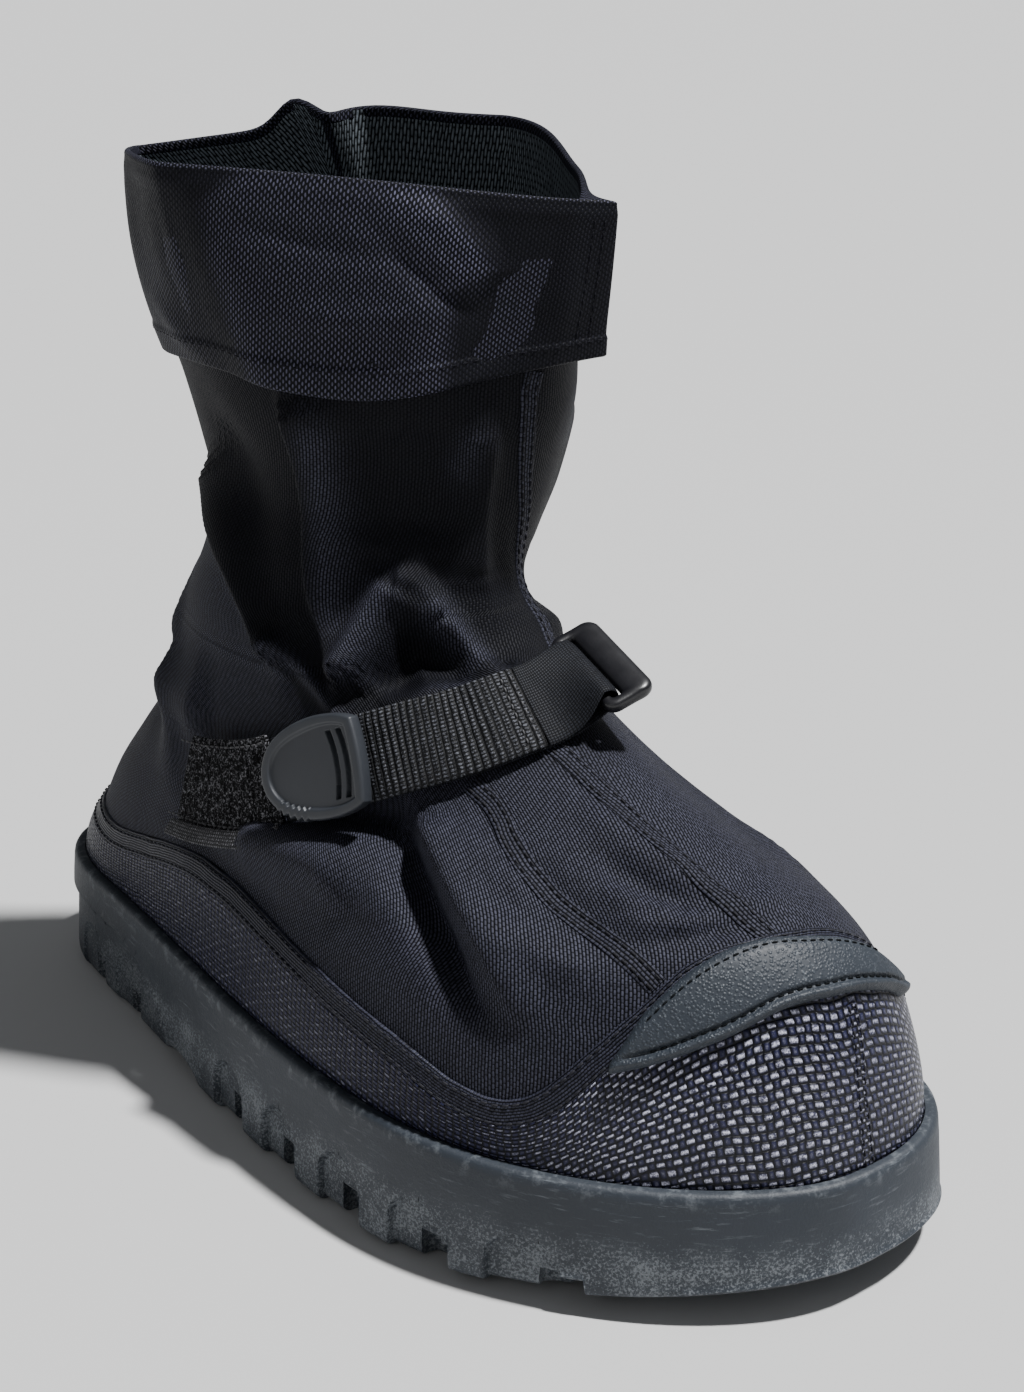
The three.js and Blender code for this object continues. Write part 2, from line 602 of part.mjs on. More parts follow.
// Webbing: ribbed top layer from the pull tab to the tape.
function strapWebbing() {
  const places = stepsBetween(webbingEnd, webbingStart, 22).map((u) => strapPlace(u, 1, webbingThickness));
  return strip(places, strapWidth, webbingThickness);
}

// Pile patch sewn to the outer side, under the pull tab.
function loopPatch() {
  const places = stepsBetween(0, tapeStart - 0.004, 6).map((u) => {
    const place = strapPlace(u, -1, patchThickness, patchDrop);
    place.across.addScaledVector(place.forward, -patchSlant * (1 - u / tapeStart));
    return place;
  });
  return strip(places, patchWidth, patchThickness);
}

// Pull tab: rounded shield with a raised rim, lying on the strap's outer end.
function pullTab() {
  const [l, w] = [tabLength / 2, tabWidth / 2];
  const outline = (inset) => {
    const shape = new THREE.Shape();
    const [a, b] = [l - inset, w - inset];
    shape.moveTo(a, -b * 0.86);
    shape.bezierCurveTo(a * 1.08, -b * 0.3, a * 1.08, b * 0.3, a, b * 0.86);
    shape.bezierCurveTo(a * 0.6, b * 1.16, -a * 0.2, b * 1.1, -a * 0.62, b * 0.66);
    shape.bezierCurveTo(-a * 1.12, b * 0.3, -a * 1.12, -b * 0.3, -a * 0.62, -b * 0.66);
    shape.bezierCurveTo(-a * 0.2, -b * 1.1, a * 0.6, -b * 1.16, a, -b * 0.86);
    return shape;
  };
  const options = { bevelEnabled: false, curveSegments: 6 };
  const plate = new THREE.ExtrudeGeometry(outline(0), { ...options, depth: tabThickness });
  const sunk = new THREE.ExtrudeGeometry(outline(tabRim), { ...options, depth: tabThickness });
  const { point, forward, normal } = strapPlace(tabCentre, 1, webbingThickness);
  const seat = point.addScaledVector(normal, webbingThickness / 2 + clearance);
  const basis = new THREE.Matrix4().makeBasis(forward, normal.clone().cross(forward), normal).setPosition(seat);
  const panel = sunk.translate(0, 0, tabThickness - tabRecess).applyMatrix4(basis);
  return solidOf(plate.applyMatrix4(basis)).subtract(solidOf(panel));
}

// Buckle: rectangular ring with a thick outer bar; the strap turns round its near bar.
function buckle() {
  const length = buckleNearBar + buckleSlot + buckleOuterBar;
  const inner = strapWidth + 2 * bucklePlay;
  const { across } = strapPlace(1, 0, 0);
  const basis = new THREE.Matrix4().makeBasis(across, buckleForward, across.clone().cross(buckleForward));
  basis.setPosition(barMiddle);
  const plate = (width, from, to, radius, depth) => {
    const shape = new THREE.Shape();
    const w = width / 2;
    shape.absarc(w - radius, to - radius, radius, 0, PI / 2);
    shape.absarc(-w + radius, to - radius, radius, PI / 2, PI);
    shape.absarc(-w + radius, from + radius, radius, PI, 1.5 * PI);
    shape.absarc(w - radius, from + radius, radius, 1.5 * PI, turn);
    const geometry = new THREE.ExtrudeGeometry(shape, { depth, bevelEnabled: false, curveSegments: 4 });
    return solidOf(geometry.translate(0, 0, -depth / 2).applyMatrix4(basis));
  };
  const from = -buckleNearBar / 2;
  const frame = plate(inner + 2 * buckleSide, from, from + length, buckleSide, buckleThickness);
  const slot = plate(inner, from + buckleNearBar, from + buckleNearBar + buckleSlot, bucklePlay, 2 * buckleThickness);
  return frame.subtract(slot);
}

function group() {
  const material = (color, roughness, metalness = 0) => new THREE.MeshStandardMaterial({ color, roughness, metalness });
  const rubber = material(0x3a4249, 0.75);
  const nylon = material(0x17181c, 0.7);
  const coated = material(0x14161f, 0.35);
  const plastic = material(0x25272b, 0.45);
  const tape = material(0x101114, 0.85);
  const shoe = new THREE.Group();
  shoe.add(
    meshOf('outsole', outsole(), rubber),
    meshOf('insole', insole(), tape),
    meshOf('upper', upper(), nylon),
    meshOf('shaft', shaft(), nylon),
    meshOf('rand', rand(), coated),
    meshOf('toe_bumper', toeBumper(), rubber),
    meshOf('cuff', cuff(), nylon),
    meshOf('strap_tape', strapTape(), tape),
    meshOf('strap_webbing', strapWebbing(), tape),
    meshOf('loop_patch', loopPatch(), tape),
    meshOf('pull_tab', pullTab(), plastic),
    meshOf('buckle', buckle(), plastic),
  );
  return shoe;
}

const shoe = group();
const box = new THREE.Box3().setFromObject(shoe);
shoe.position.set(-(box.min.x + box.max.x) / 2, -(box.min.y + box.max.y) / 2, -box.min.z);
shoe.updateMatrixWorld(true);

export default shoe;
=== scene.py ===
"""Looks of the slip-over winter overshoe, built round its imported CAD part.

Lengths in the classes are millimetres, as in the part's source; meshes are written in metres. Toe to -Y,
outer side to -X, +Z up. Angles run from the toe over the inner side: 90 inner, 180 heel, 270 outer.
"""

import logging
import math
from collections.abc import Callable
from dataclasses import dataclass, field
from enum import Enum

import bmesh
import bpy
import numpy as np
from mathutils import Matrix, Vector


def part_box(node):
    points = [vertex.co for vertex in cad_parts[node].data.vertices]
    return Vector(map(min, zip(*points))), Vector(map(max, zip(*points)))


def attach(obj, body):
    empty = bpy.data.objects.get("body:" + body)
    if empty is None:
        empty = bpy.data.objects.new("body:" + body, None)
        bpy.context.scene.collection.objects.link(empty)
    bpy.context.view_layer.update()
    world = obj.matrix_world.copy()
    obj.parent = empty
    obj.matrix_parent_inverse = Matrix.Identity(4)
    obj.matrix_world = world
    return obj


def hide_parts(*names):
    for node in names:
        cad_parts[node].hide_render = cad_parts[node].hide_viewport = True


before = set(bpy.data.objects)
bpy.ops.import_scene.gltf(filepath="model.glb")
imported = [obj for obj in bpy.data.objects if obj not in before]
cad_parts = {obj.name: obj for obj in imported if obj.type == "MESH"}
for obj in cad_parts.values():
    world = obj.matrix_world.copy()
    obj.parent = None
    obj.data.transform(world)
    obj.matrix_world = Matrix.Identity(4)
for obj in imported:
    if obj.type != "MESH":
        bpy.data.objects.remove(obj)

log = logging.getLogger("overshoe")
MM = 0.001
Colour = tuple[float, float, float]
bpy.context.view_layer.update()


# Numbers


def smooth(x: np.ndarray) -> np.ndarray:
    """Smooth step: 0 below 0, 1 above 1, and 3x^2 - 2x^3 between."""
    t = np.clip(x, 0.0, 1.0)
    return t * t * (3.0 - 2.0 * t)


def bell(x: np.ndarray) -> np.ndarray:
    """Bell curve exp(-x^2)."""
    return np.exp(-np.square(x))


def unit(v: np.ndarray) -> np.ndarray:
    """Vectors scaled to length 1."""
    return v / np.maximum(np.linalg.norm(v, axis=-1, keepdims=True), 1e-9)


def turned(degrees: np.ndarray, centre: float) -> np.ndarray:
    """Signed angle in degrees from a centre, between -180 and 180."""
    return (np.asarray(degrees, float) - centre + 180.0) % 360.0 - 180.0


def arrays(*values: object) -> list[np.ndarray]:
    """Values as arrays of floats with one common shape."""
    return np.broadcast_arrays(*(np.asarray(value, float) for value in values))


def run_of(points: np.ndarray) -> np.ndarray:
    """Length along a path from its first point to each of its points."""
    return np.r_[0.0, np.cumsum(np.linalg.norm(np.diff(points, axis=0), axis=1))]


def picked(at: np.ndarray, run: np.ndarray, values: np.ndarray) -> np.ndarray:
    """Rows of values at places along a run, straight between its own rows."""
    return np.stack([np.interp(at, run, column) for column in np.asarray(values).T], -1)


def through_rows(rows: np.ndarray, at: np.ndarray) -> np.ndarray:
    """Smooth curve through a table whose first column rises.

    Between two rows each column is a cubic Hermite curve. Its slope at a row is the average of the two
    neighbouring slopes, weighted by their lengths.

    Args:
        rows: the table, one row a knot.
        at: places along the first column, of any shape.

    Returns:
        Values of the other columns, with one more axis than at.
    """
    at = np.asarray(at, float)
    flat = at.ravel()
    x, y = rows[:, 0], rows[:, 1:]
    span = np.diff(x)[:, None]
    rate = np.diff(y, axis=0) / span
    slope = np.vstack(
        [rate[:1], (rate[:-1] * span[:-1] + rate[1:] * span[1:]) / (span[:-1] + span[1:]), rate[-1:]]
    )
    k = np.clip(np.searchsorted(x, flat, side="right") - 1, 0, len(x) - 2)
    t = ((flat - x[k]) / span[k, 0])[:, None]
    s = span[k]
    value = y[k] + (y[k + 1] - y[k]) * (3 * t**2 - 2 * t**3)
    value = value + s * ((t - 2 * t**2 + t**3) * slope[k] + (t**3 - t**2) * slope[k + 1])
    return value.reshape(at.shape + (y.shape[1],))


def along_points(points: np.ndarray, count: int) -> np.ndarray:
    """Points at even distances along a smooth curve through the given ones.

    Args:
        points: the knots, one row each.
        count: how many points to return.

    Returns:
        An array of count rows.
    """
    points = np.asarray(points, float)
    table = np.column_stack([run_of(points), points])
    fine = through_rows(table, np.linspace(0.0, table[-1, 0], 40 * len(points)))
    run = run_of(fine)
    return picked(np.linspace(0.0, run[-1], count), run, fine)


# Meshes


@dataclass
class Patch:
    """A grid of points with its UV map, ready to become part of a mesh.

    Attributes:
        points: array of rows, columns and 3 coordinates in millimetres.
        uv: array of rows, columns and 2, in millimetres on the surface.
        wrap: whether the last column joins the first.
        loop: whether the last row joins the first.
        slot: number of the material.
    """

    points: np.ndarray
    uv: np.ndarray | None = None
    wrap: bool = False
    loop: bool = False
    slot: int = 0


def put(name: str, data: bpy.types.ID) -> bpy.types.Object:
    """An object of that name, linked into the scene."""
    made = bpy.data.objects.new(name, data)
    bpy.context.scene.collection.objects.link(made)
    return made


def worked(mesh: bpy.types.Mesh, change: Callable[[bmesh.types.BMesh], object]) -> None:
    """Applies a change to a mesh.

    Args:
        mesh: the mesh.
        change: what is done to its faces and edges.
    """
    work = bmesh.new()
    work.from_mesh(mesh)
    change(work)
    work.to_mesh(mesh)
    work.free()


def mesh_piece(
    name: str,
    patches: list[Patch],
    materials: list[bpy.types.Material],
    replaces: tuple[str, ...] = (),
    weld: bool = False,
    flat: np.ndarray | None = None,
) -> bpy.types.Object:
    """One object from several grids of points.

    Each cell of a grid is a quad; column i of the UV map belongs to column i of the points, and a wrapped
    grid closes on UV column 0 moved by one whole turn.

    Args:
        name: name of the piece.
        patches: the grids.
        materials: one for each slot number.
        replaces: CAD nodes that it stands for.
        weld: whether points that coincide are merged.
        flat: painted light at each point, 0 to 1, kept as the attribute "flat"; cloth whose material has
            painted shade is darkened where it is low.

    Returns:
        The object, riding on the root body.
    """
    verts, faces, uvs, slots = [], [], [], []
    start = 0
    for patch in patches:
        rows, cols = patch.points.shape[:2]
        r = np.arange(rows if patch.loop else rows - 1)
        c = np.arange(cols if patch.wrap else cols - 1)
        rr, cc = np.meshgrid(r, c, indexing="ij")
        r1, c1 = (rr + 1) % rows, (cc + 1) % cols
        quads = np.stack([rr * cols + cc, rr * cols + c1, r1 * cols + c1, r1 * cols + cc], -1).reshape(-1, 4)
        verts.append(patch.points.reshape(-1, 3))
        faces.append(quads + start)
        uv = np.zeros((rows, cols, 2)) if patch.uv is None else patch.uv
        width = uv[:, -1] - uv[:, -2] + uv[:, -1] if cols > 1 else uv[:, -1]
        across = np.concatenate([uv, width[:, None]], axis=1)
        height = across[-1] - across[-2] + across[-1]
        full = np.concatenate([across, height[None]], axis=0)
        corners = np.stack([full[rr, cc], full[rr, cc + 1], full[rr + 1, cc + 1], full[rr + 1, cc]], -2)
        uvs.append(corners.reshape(-1, 2))
        slots.append(np.full(len(quads), patch.slot))
        start += rows * cols
    mesh = bpy.data.meshes.new(name)
    all_verts = (np.concatenate(verts) + SHIFT) * MM
    mesh.from_pydata(all_verts.tolist(), [], np.concatenate(faces).tolist())
    layer = mesh.uv_layers.new(name="surface")
    layer.data.foreach_set("uv", np.concatenate(uvs).astype(np.float32).ravel())
    mesh.polygons.foreach_set("material_index", np.concatenate(slots).astype(np.int32))
    for material in materials:
        mesh.materials.append(material)
    mesh.shade_smooth()
    if flat is not None:
        mesh.attributes.new("flat", "FLOAT", "POINT").data.foreach_set(
            "value", flat.astype(np.float32).ravel()
        )
    piece = put(name, mesh)
    if weld:
        worked(mesh, lambda work: bmesh.ops.remove_doubles(work, verts=work.verts, dist=2e-6))
    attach(piece, "root")
    if replaces:
        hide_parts(*replaces)
    return piece


@dataclass(frozen=True)
class Stitch:
    """Sewn stitches of one size.

    Attributes:
        pitch: distance from stitch to stitch.
        length: length of one.
        thick: its thickness.
        sink: share of its thickness that lies in the cloth.
    """

    pitch: float
    length: float
    thick: float
    sink: float = 0.25

    def along(self, route: np.ndarray, normals: np.ndarray) -> list[Patch]:
        """Small arched beads along a route, each dipping into the cloth at its two ends.

        Args:
            route: points on the cloth.
            normals: outward directions there.

        Returns:
            One closed grid for each stitch.
        """
        run = run_of(route)
        count = max(int(run[-1] / self.pitch), 1)
        middles = (np.arange(count) + 0.5) * run[-1] / count
        s = np.linspace(-1.0, 1.0, 7)
        turn = np.linspace(0.0, 2 * np.pi, 6, endpoint=False)
        at = middles[:, None] + s[None] * self.length / 2
        centre = picked(at, run, route)
        normal = unit(picked(at, run, normals))
        side = np.cross(normal, unit(np.gradient(centre, axis=1)))
        fat = self.thick / 2 * np.sqrt(1 - s**4)
        arch = self.thick * (0.5 - self.sink) - self.thick * 0.7 * s**4
        centre = centre + normal * arch[None, :, None]
        ring = np.cos(turn)[:, None] * side[:, :, None] + np.sin(turn)[:, None] * normal[:, :, None]
        grid = centre[:, :, None] + ring * fat[None, :, None, None]
        return [Patch(bead, wrap=True) for bead in grid]


# Shader nodes


class Number:
    """A number socket of a material's tree. Python operators on it add Math nodes."""

    def __init__(self, tree: "Tree", socket: bpy.types.NodeSocket) -> None:
        """Keeps the socket and the tree that it belongs to."""
        self.tree = tree
        self.socket = socket

    def __add__(self, other: "Number | float") -> "Number":
        """Sum."""
        return self.tree.math("ADD", self, other)

    def __radd__(self, other: float) -> "Number":
        """Sum, number first."""
        return self.tree.math("ADD", other, self)

    def __sub__(self, other: "Number | float") -> "Number":
        """Difference."""
        return self.tree.math("SUBTRACT", self, other)

    def __rsub__(self, other: float) -> "Number":
        """Difference, number first."""
        return self.tree.math("SUBTRACT", other, self)

    def __mul__(self, other: "Number | float") -> "Number":
        """Product."""
        return self.tree.math("MULTIPLY", self, other)

    def __rmul__(self, other: float) -> "Number":
        """Product, number first."""
        return self.tree.math("MULTIPLY", other, self)

    def __truediv__(self, other: "Number | float") -> "Number":
        """Quotient."""
        return self.tree.math("DIVIDE", self, other)

    def __pow__(self, other: float) -> "Number":
        """Power."""
        return self.tree.math("POWER", self, other)

    def floor(self) -> "Number":
        """Whole part."""
        return self.tree.math("FLOOR", self)

    def fraction(self) -> "Number":
        """Part after the point."""
        return self.tree.math("FRACT", self)

    def absolute(self) -> "Number":
        """Size without sign."""
        return self.tree.math("ABSOLUTE", self)

    def ramp(self, low: float, high: float) -> "Number":
        """Smooth step from 0 at low to 1 at high."""
        made = self.tree.node(
            "ShaderNodeMapRange",
            {"interpolation_type": "SMOOTHSTEP"},
            {"Value": self, "From Min": low, "From Max": high, "To Min": 0.0, "To Max": 1.0},
        )
        return Number(self.tree, made.outputs["Result"])


class Tree:
    """A material's node tree and the one method that adds nodes to it."""

    def __init__(self, name: str) -> None:
        """Makes an empty material of that name."""
        self.material = bpy.data.materials.new(name)
        self.material.use_nodes = True
        self.nodes = self.material.node_tree.nodes
        self.links = self.material.node_tree.links
        self.nodes.clear()

    def node(self, kind: str, settings: dict | None = None, inputs: dict | None = None) -> bpy.types.Node:
        """Adds a node.

        Args:
            kind: type name of the node.
            settings: its settings, set first.
            inputs: values or links of its sockets, by name or number.

        Returns:
            The node.
        """
        made = self.nodes.new(kind)
        for key, value in (settings or {}).items():
            setattr(made, key, value)
        for key, value in (inputs or {}).items():
            socket = made.inputs[key]
            if isinstance(value, Number):
                self.links.new(value.socket, socket)
            elif isinstance(value, bpy.types.NodeSocket):
                self.links.new(value, socket)
            elif isinstance(value, tuple) and len(value) == 3 and socket.type == "RGBA":
                socket.default_value = (*value, 1.0)
            else:
                socket.default_value = value
        return made

    def math(self, operation: str, *values: "Number | float") -> Number:
        """A Math node on one to three values."""
        made = self.node("ShaderNodeMath", {"operation": operation}, dict(enumerate(values)))
        return Number(self, made.outputs[0])

    def surface_mm(self) -> tuple[Number, Number]:
        """The piece's UV map in millimetres."""
        uv = self.node("ShaderNodeUVMap", {"uv_map": "surface"})
        parts = self.node("ShaderNodeSeparateXYZ", inputs={0: uv.outputs[0]})
        return Number(self, parts.outputs[0]), Number(self, parts.outputs[1])

    def place(self) -> tuple[bpy.types.NodeSocket, Number, Number, Number]:
        """Object coordinates in metres: the vector and its three parts."""
        coordinate = self.node("ShaderNodeTexCoord")
        parts = self.node("ShaderNodeSeparateXYZ", inputs={0: coordinate.outputs["Object"]})
        return (coordinate.outputs["Object"], *(Number(self, parts.outputs[i]) for i in range(3)))

    def noise(
        self, size_mm: float, detail: float = 3.0, rough: float = 0.55, stretch: tuple = (1, 1, 1)
    ) -> Number:
        """Noise on Object coordinates whose blotches are about that many millimetres across."""
        coordinate = self.node("ShaderNodeTexCoord")
        mapping = self.node(
            "ShaderNodeMapping", inputs={"Vector": coordinate.outputs["Object"], "Scale": stretch}
        )
        sizes = {"Scale": 1.0 / (size_mm * MM), "Detail": detail, "Roughness": rough}
        made = self.node("ShaderNodeTexNoise", inputs={"Vector": mapping.outputs[0], **sizes})
        return Number(self, made.outputs[0])

    def mix(self, factor: "Number | float", a: object, b: object) -> bpy.types.NodeSocket:
        """Colour between a and b."""
        made = self.node("ShaderNodeMix", {"data_type": "RGBA"}, {0: factor, 6: a, 7: b})
        return made.outputs[2]

    def shades(self, factor: Number, colour: Colour, low: float, high: float) -> bpy.types.NodeSocket:
        """A colour times a number between low and high."""
        return self.mix(factor, tuple(c * low for c in colour), tuple(c * high for c in colour))

    def bump(
        self, height: Number, depth_mm: float, under: bpy.types.NodeSocket | None = None
    ) -> bpy.types.NodeSocket:
        """Normal bent by a height of 0 to 1, standing that many millimetres high."""
        made = self.node(
            "ShaderNodeBump", inputs={"Strength": 1.0, "Distance": depth_mm * MM, "Height": height}
        )
        if under is not None:
            self.links.new(under, made.inputs["Normal"])
        return made.outputs[0]

    def finish(self, **sockets: object) -> bpy.types.Material:
        """Principled shader from its sockets' values or links, named with underscores for spaces."""
        named = {key.replace("_", " "): value for key, value in sockets.items()}
        shader = self.node("ShaderNodeBsdfPrincipled", inputs=named)
        self.node("ShaderNodeOutputMaterial", inputs={"Surface": shader.outputs[0]})
        return self.material

    def weave(self, u: Number, v: Number, warp: float, weft: float) -> Number:
        """Height of a plain weave.

        Cells of a checkerboard show the warp or the weft on top. Each thread is a rounded ridge, long
        along its own direction.

        Args:
            u: place across the warp, in millimetres.
            v: place along the warp.
            warp: width of a warp thread.
            weft: width of a weft thread.

        Returns:
            Height from 0 to 1.
        """
        cu, cv = u / warp, v / weft
        odd = ((cu.floor() + cv.floor()) * 0.5).fraction() * 2.0
        fu = (cu.fraction() - 0.5) * 2.0
        fv = (cv.fraction() - 0.5) * 2.0
        fu2, fv2 = fu * fu, fv * fv
        over_warp = (1.0 - fu2) * (1.0 - fv2 * fv2 * 0.75)
        over_weft = (1.0 - fv2) * (1.0 - fu2 * fu2 * 0.75)
        return over_warp + (over_weft - over_warp) * odd


# Finishes


class Weave(Enum):
    """Binding of a cloth: upright cords, staggered upright dashes, or an even plain weave."""

    CORDED = "corded"
    OXFORD = "oxford"
    PLAIN = "plain"


@dataclass(frozen=True)
class WovenNylon:
    """Woven nylon: its binding, thread colours and widths, and how strongly the threads catch the light."""

    name: str
    dark: Colour
    light: Colour
    warp: float
    weft: float
    relief: float
    rough: float
    weave: Weave = Weave.CORDED
    slub: float = 0.5
    shine: float = 0.13
    # Share of painted shade: how far the colour is darkened towards the dark thread colour where the flat
    # attribute is low.
    painted_shade: float = 0.0

    def height(self, t: Tree, u: Number, v: Number) -> Number:
        """Height of the threads, 0 to 1.

        Corded: round ridges along v, notched at each weft. Oxford: one oval float in each cell, every
        other column moved by half a cell. Plain: the weave of the tree.

        Args:
            t: the material's tree.
            u: place across the warp, in millimetres.
            v: place along the warp.

        Returns:
            The height.
        """
        if self.weave is Weave.PLAIN:
            return t.weave(u, v, self.warp, self.weft)
        cu = u / self.warp
        odd = (cu.floor() * 0.5).fraction()
        cv = v / self.weft + odd
        fu = (cu.fraction() - 0.5) * 2.0
        fv = (cv.fraction() - 0.5) * 2.0
        if self.weave is Weave.CORDED:
            return (1.0 - fu * fu) * (1.0 - (fv**4.0) * 0.6)
        return (1.0 - fu * fu * 1.5 - fv * fv * 1.25).ramp(0.0, 0.9)

    def material(self) -> bpy.types.Material:
        """Threads lighter on their crowns, with uneven slubs and soft crumpling, and painted shade where the
        piece's flat attribute is low.

        Returns:
            The material.
        """
        t = Tree(self.name)
        u, v = t.surface_mm()
        u = u + (t.noise(14.0, 2.0) - 0.5) * 1.6
        v = v + (t.noise(17.0, 2.0) - 0.5) * 1.6
        height = self.height(t, u, v)
        slub = t.noise(1.3, 2.0).ramp(0.3, 0.7)
        crown = height.ramp(0.35, 0.95) * (1.0 - self.slub + slub * self.slub)
        colour = t.mix(crown, self.dark, self.light)
        # Painted shade: the colour is darkened where the flat attribute is low, standing in for cloth lying in
        # shade.
        if self.painted_shade:
            painted_lit = Number(t, t.node("ShaderNodeAttribute", {"attribute_name": "flat"}).outputs["Fac"])
            colour = t.mix((1.0 - painted_lit) * self.painted_shade, colour, self.dark)
        normal = t.bump(t.noise(9.0, 4.0, 0.6), 0.35)
        normal = t.bump(height, self.relief, normal)
        rough = (1.0 - crown) * 0.18 + (self.rough + (slub - 0.5) * 0.12)
        return t.finish(Base_Color=colour, Roughness=rough, Normal=normal, Specular_IOR_Level=self.shine)


@dataclass(frozen=True)
class CoatedRand:
    """Coarse woven cloth under a glossy film, with painted glints on its threads, worn dull towards the heel.
    """

    name: str = "coated_rand"
    dark: Colour = (0.0008, 0.0010, 0.0045)
    light: Colour = (0.012, 0.013, 0.042)
    # Colour of the painted glints on the thread crowns.
    painted_glint: Colour = (0.66, 0.66, 0.80)
    thread: float = 1.45
    reach: float = 2.3
    relief: float = 0.7
    dull: Colour = (0.010, 0.013, 0.018)

    def material(self) -> bpy.types.Material:
        """Large threads with painted glints, strongest on the outer front of the toe; smooth and dull low down
        at the heel.

        Returns:
            The material.
        """
        t = Tree(self.name)
        u, v = t.surface_mm()
        u = u + (t.noise(20.0, 2.0) - 0.5) * 3.0
        v = v + (t.noise(23.0, 2.0) - 0.5) * 3.0
        height = t.weave(u, v, self.reach, self.thread)
        grain = t.noise(0.8, 3.0)
        _, x, y, z = t.place()
        worn = y.ramp(0.02, 0.10) * (1.0 - z.ramp(0.040, 0.054)) * t.noise(16.0, 3.0).ramp(0.35, 0.65) * 0.4
        crown = height.ramp(0.35, 0.9)
        odd = (((u / self.reach).floor() + (v / self.thread).floor()) * 0.5).fraction() * 2.0
        colour = t.mix(crown, self.dark, self.light)
        toe = 1.0 - (y + 0.010).ramp(-0.125, -0.075)
        spot = (t.noise(1.9, 3.0, 0.75) + toe * 0.10).ramp(0.46, 0.62)
        streak = t.noise(0.5, 2.0, 0.7).ramp(0.40, 0.56)
        # Painted highlight placement: the glints are strongest on the outer front of the toe, where the sun's
        # reflection falls.
        front = toe * (1.0 - x.ramp(-0.002, 0.028) * 0.8)
        # Painted glints: short bright strokes on the thread crowns, near white, stand in for the sun's glints
        # on the coating.
        dash = (1.0 - ((v / self.thread).fraction() * 2.0 - 1.0).absolute()).ramp(0.3, 0.9)
        strokes = dash * (height.ramp(0.2, 0.6) * odd + height.ramp(0.8, 1.0) * (1.0 - odd) * 0.15)
        painted_glints = strokes * (0.1 + spot * 0.9) * (0.3 + streak * 0.7) * (0.30 + front * 0.70)
        colour = t.mix(painted_glints, colour, self.painted_glint)
        colour = t.mix(worn, colour, self.dull)
        normal = t.bump(t.noise(7.0, 3.0), 0.3)
        normal = t.bump((height + grain * 0.25) * (1.0 - worn * 0.8), self.relief, normal)
        rough = 0.34 + grain * 0.26 + worn * 0.2
        return t.finish(
            Base_Color=colour,
            Roughness=rough,
            Normal=normal,
            Coat_Weight=0.08 + toe * 0.2,
            Coat_Roughness=0.24,
            Specular_IOR_Level=0.16,
        )


@dataclass(frozen=True)
class DustyRubber:
    """Slate rubber: smooth upper band, and a lower half speckled with pale dust and fine scuffs."""

    name: str = "sole_rubber"
    colour: Colour = (0.0165, 0.0225, 0.0320)
    scuffed: Colour = (0.17, 0.19, 0.21)
    rubbed: Colour = (0.22, 0.24, 0.26)
    dusted: Colour = (0.24, 0.26, 0.28)
    film: Colour = (0.10, 0.11, 0.12)
    grain: float = 0.12

    def material(self) -> bpy.types.Material:
        """Fine grain, dust that grows towards the floor, and a light scuff along the rim.

        Returns:
            The material.
        """
        t = Tree(self.name)
        _, _, _, z = t.place()
        speck = t.noise(0.75, 3.0, 0.7)
        cloud = t.noise(13.0, 3.0)
        low = 1.0 - z.ramp(0.016, 0.031)
        dusty = (speck + cloud * 0.30 + low * 0.20).ramp(0.80, 0.99) * low
        scuff = t.noise(3.2, 4.0, 0.7, (0.35, 0.35, 3.0)).ramp(0.55, 0.72) * cloud.ramp(0.35, 0.60)
        rim = z.ramp(0.0315, 0.0365) * t.noise(5.0, 4.0, 0.7).ramp(0.50, 0.70)
        colour = t.shades(t.noise(30.0, 3.0), self.colour, 0.75, 1.2)
        colour = t.mix(low * cloud.ramp(0.35, 0.7) * 0.18, colour, self.film)
        colour = t.mix(dusty * 0.6, colour, self.dusted)
        colour = t.mix(scuff * 0.45, colour, self.scuffed)
        colour = t.mix(rim * 0.30, colour, self.rubbed)
        fine = t.noise(0.7, 3.0, 0.6)
        normal = t.bump(fine, self.grain)
        normal = t.bump(t.noise(5.0, 3.0), 0.2, normal)
        rough = 0.52 + fine * 0.16 + dusty * 0.2
        return t.finish(Base_Color=colour, Roughness=rough, Normal=normal, Specular_IOR_Level=0.5)


@dataclass(frozen=True)
class DottedRubber:
    """Rubber of the toe bumper: slate, with a pattern of small rounded pips."""

    name: str = "bumper_rubber"
    colour: Colour = (0.0145, 0.0200, 0.0285)
    pip_size: float = 0.9

    def material(self) -> bpy.types.Material:
        """Pips are the cells of a Voronoi pattern; their tops are painted lighter and the hollows between them
        darker, as painted light and shade.

        Returns:
            The material.
        """
        t = Tree(self.name)
        where, _, _, _ = t.place()
        cells = t.node(
            "ShaderNodeTexVoronoi", {"feature": "F1"}, {"Vector": where, "Scale": 1 / (self.pip_size * MM)}
        )
        pip = 1.0 - Number(t, cells.outputs["Distance"]).ramp(0.15, 0.6)
        tone = t.shades(t.noise(12.0, 3.0), self.colour, 0.85, 1.2)
        # Painted light and shade: the tops of the pips are painted lighter than the hollows.
        colour = t.mix(pip * 0.35, tone, tuple(c * 1.5 for c in self.colour))
        speck = t.noise(0.9, 2.0, 0.6).ramp(0.60, 0.70) * t.noise(6.0).ramp(0.35, 0.6)
        colour = t.mix(speck * 0.5, colour, (0.16, 0.18, 0.20))
        normal = t.bump(pip, 0.12)
        normal = t.bump(t.noise(6.0, 3.0), 0.15, normal)
        return t.finish(Base_Color=colour, Roughness=0.5 + t.noise(2.0) * 0.12, Normal=normal)


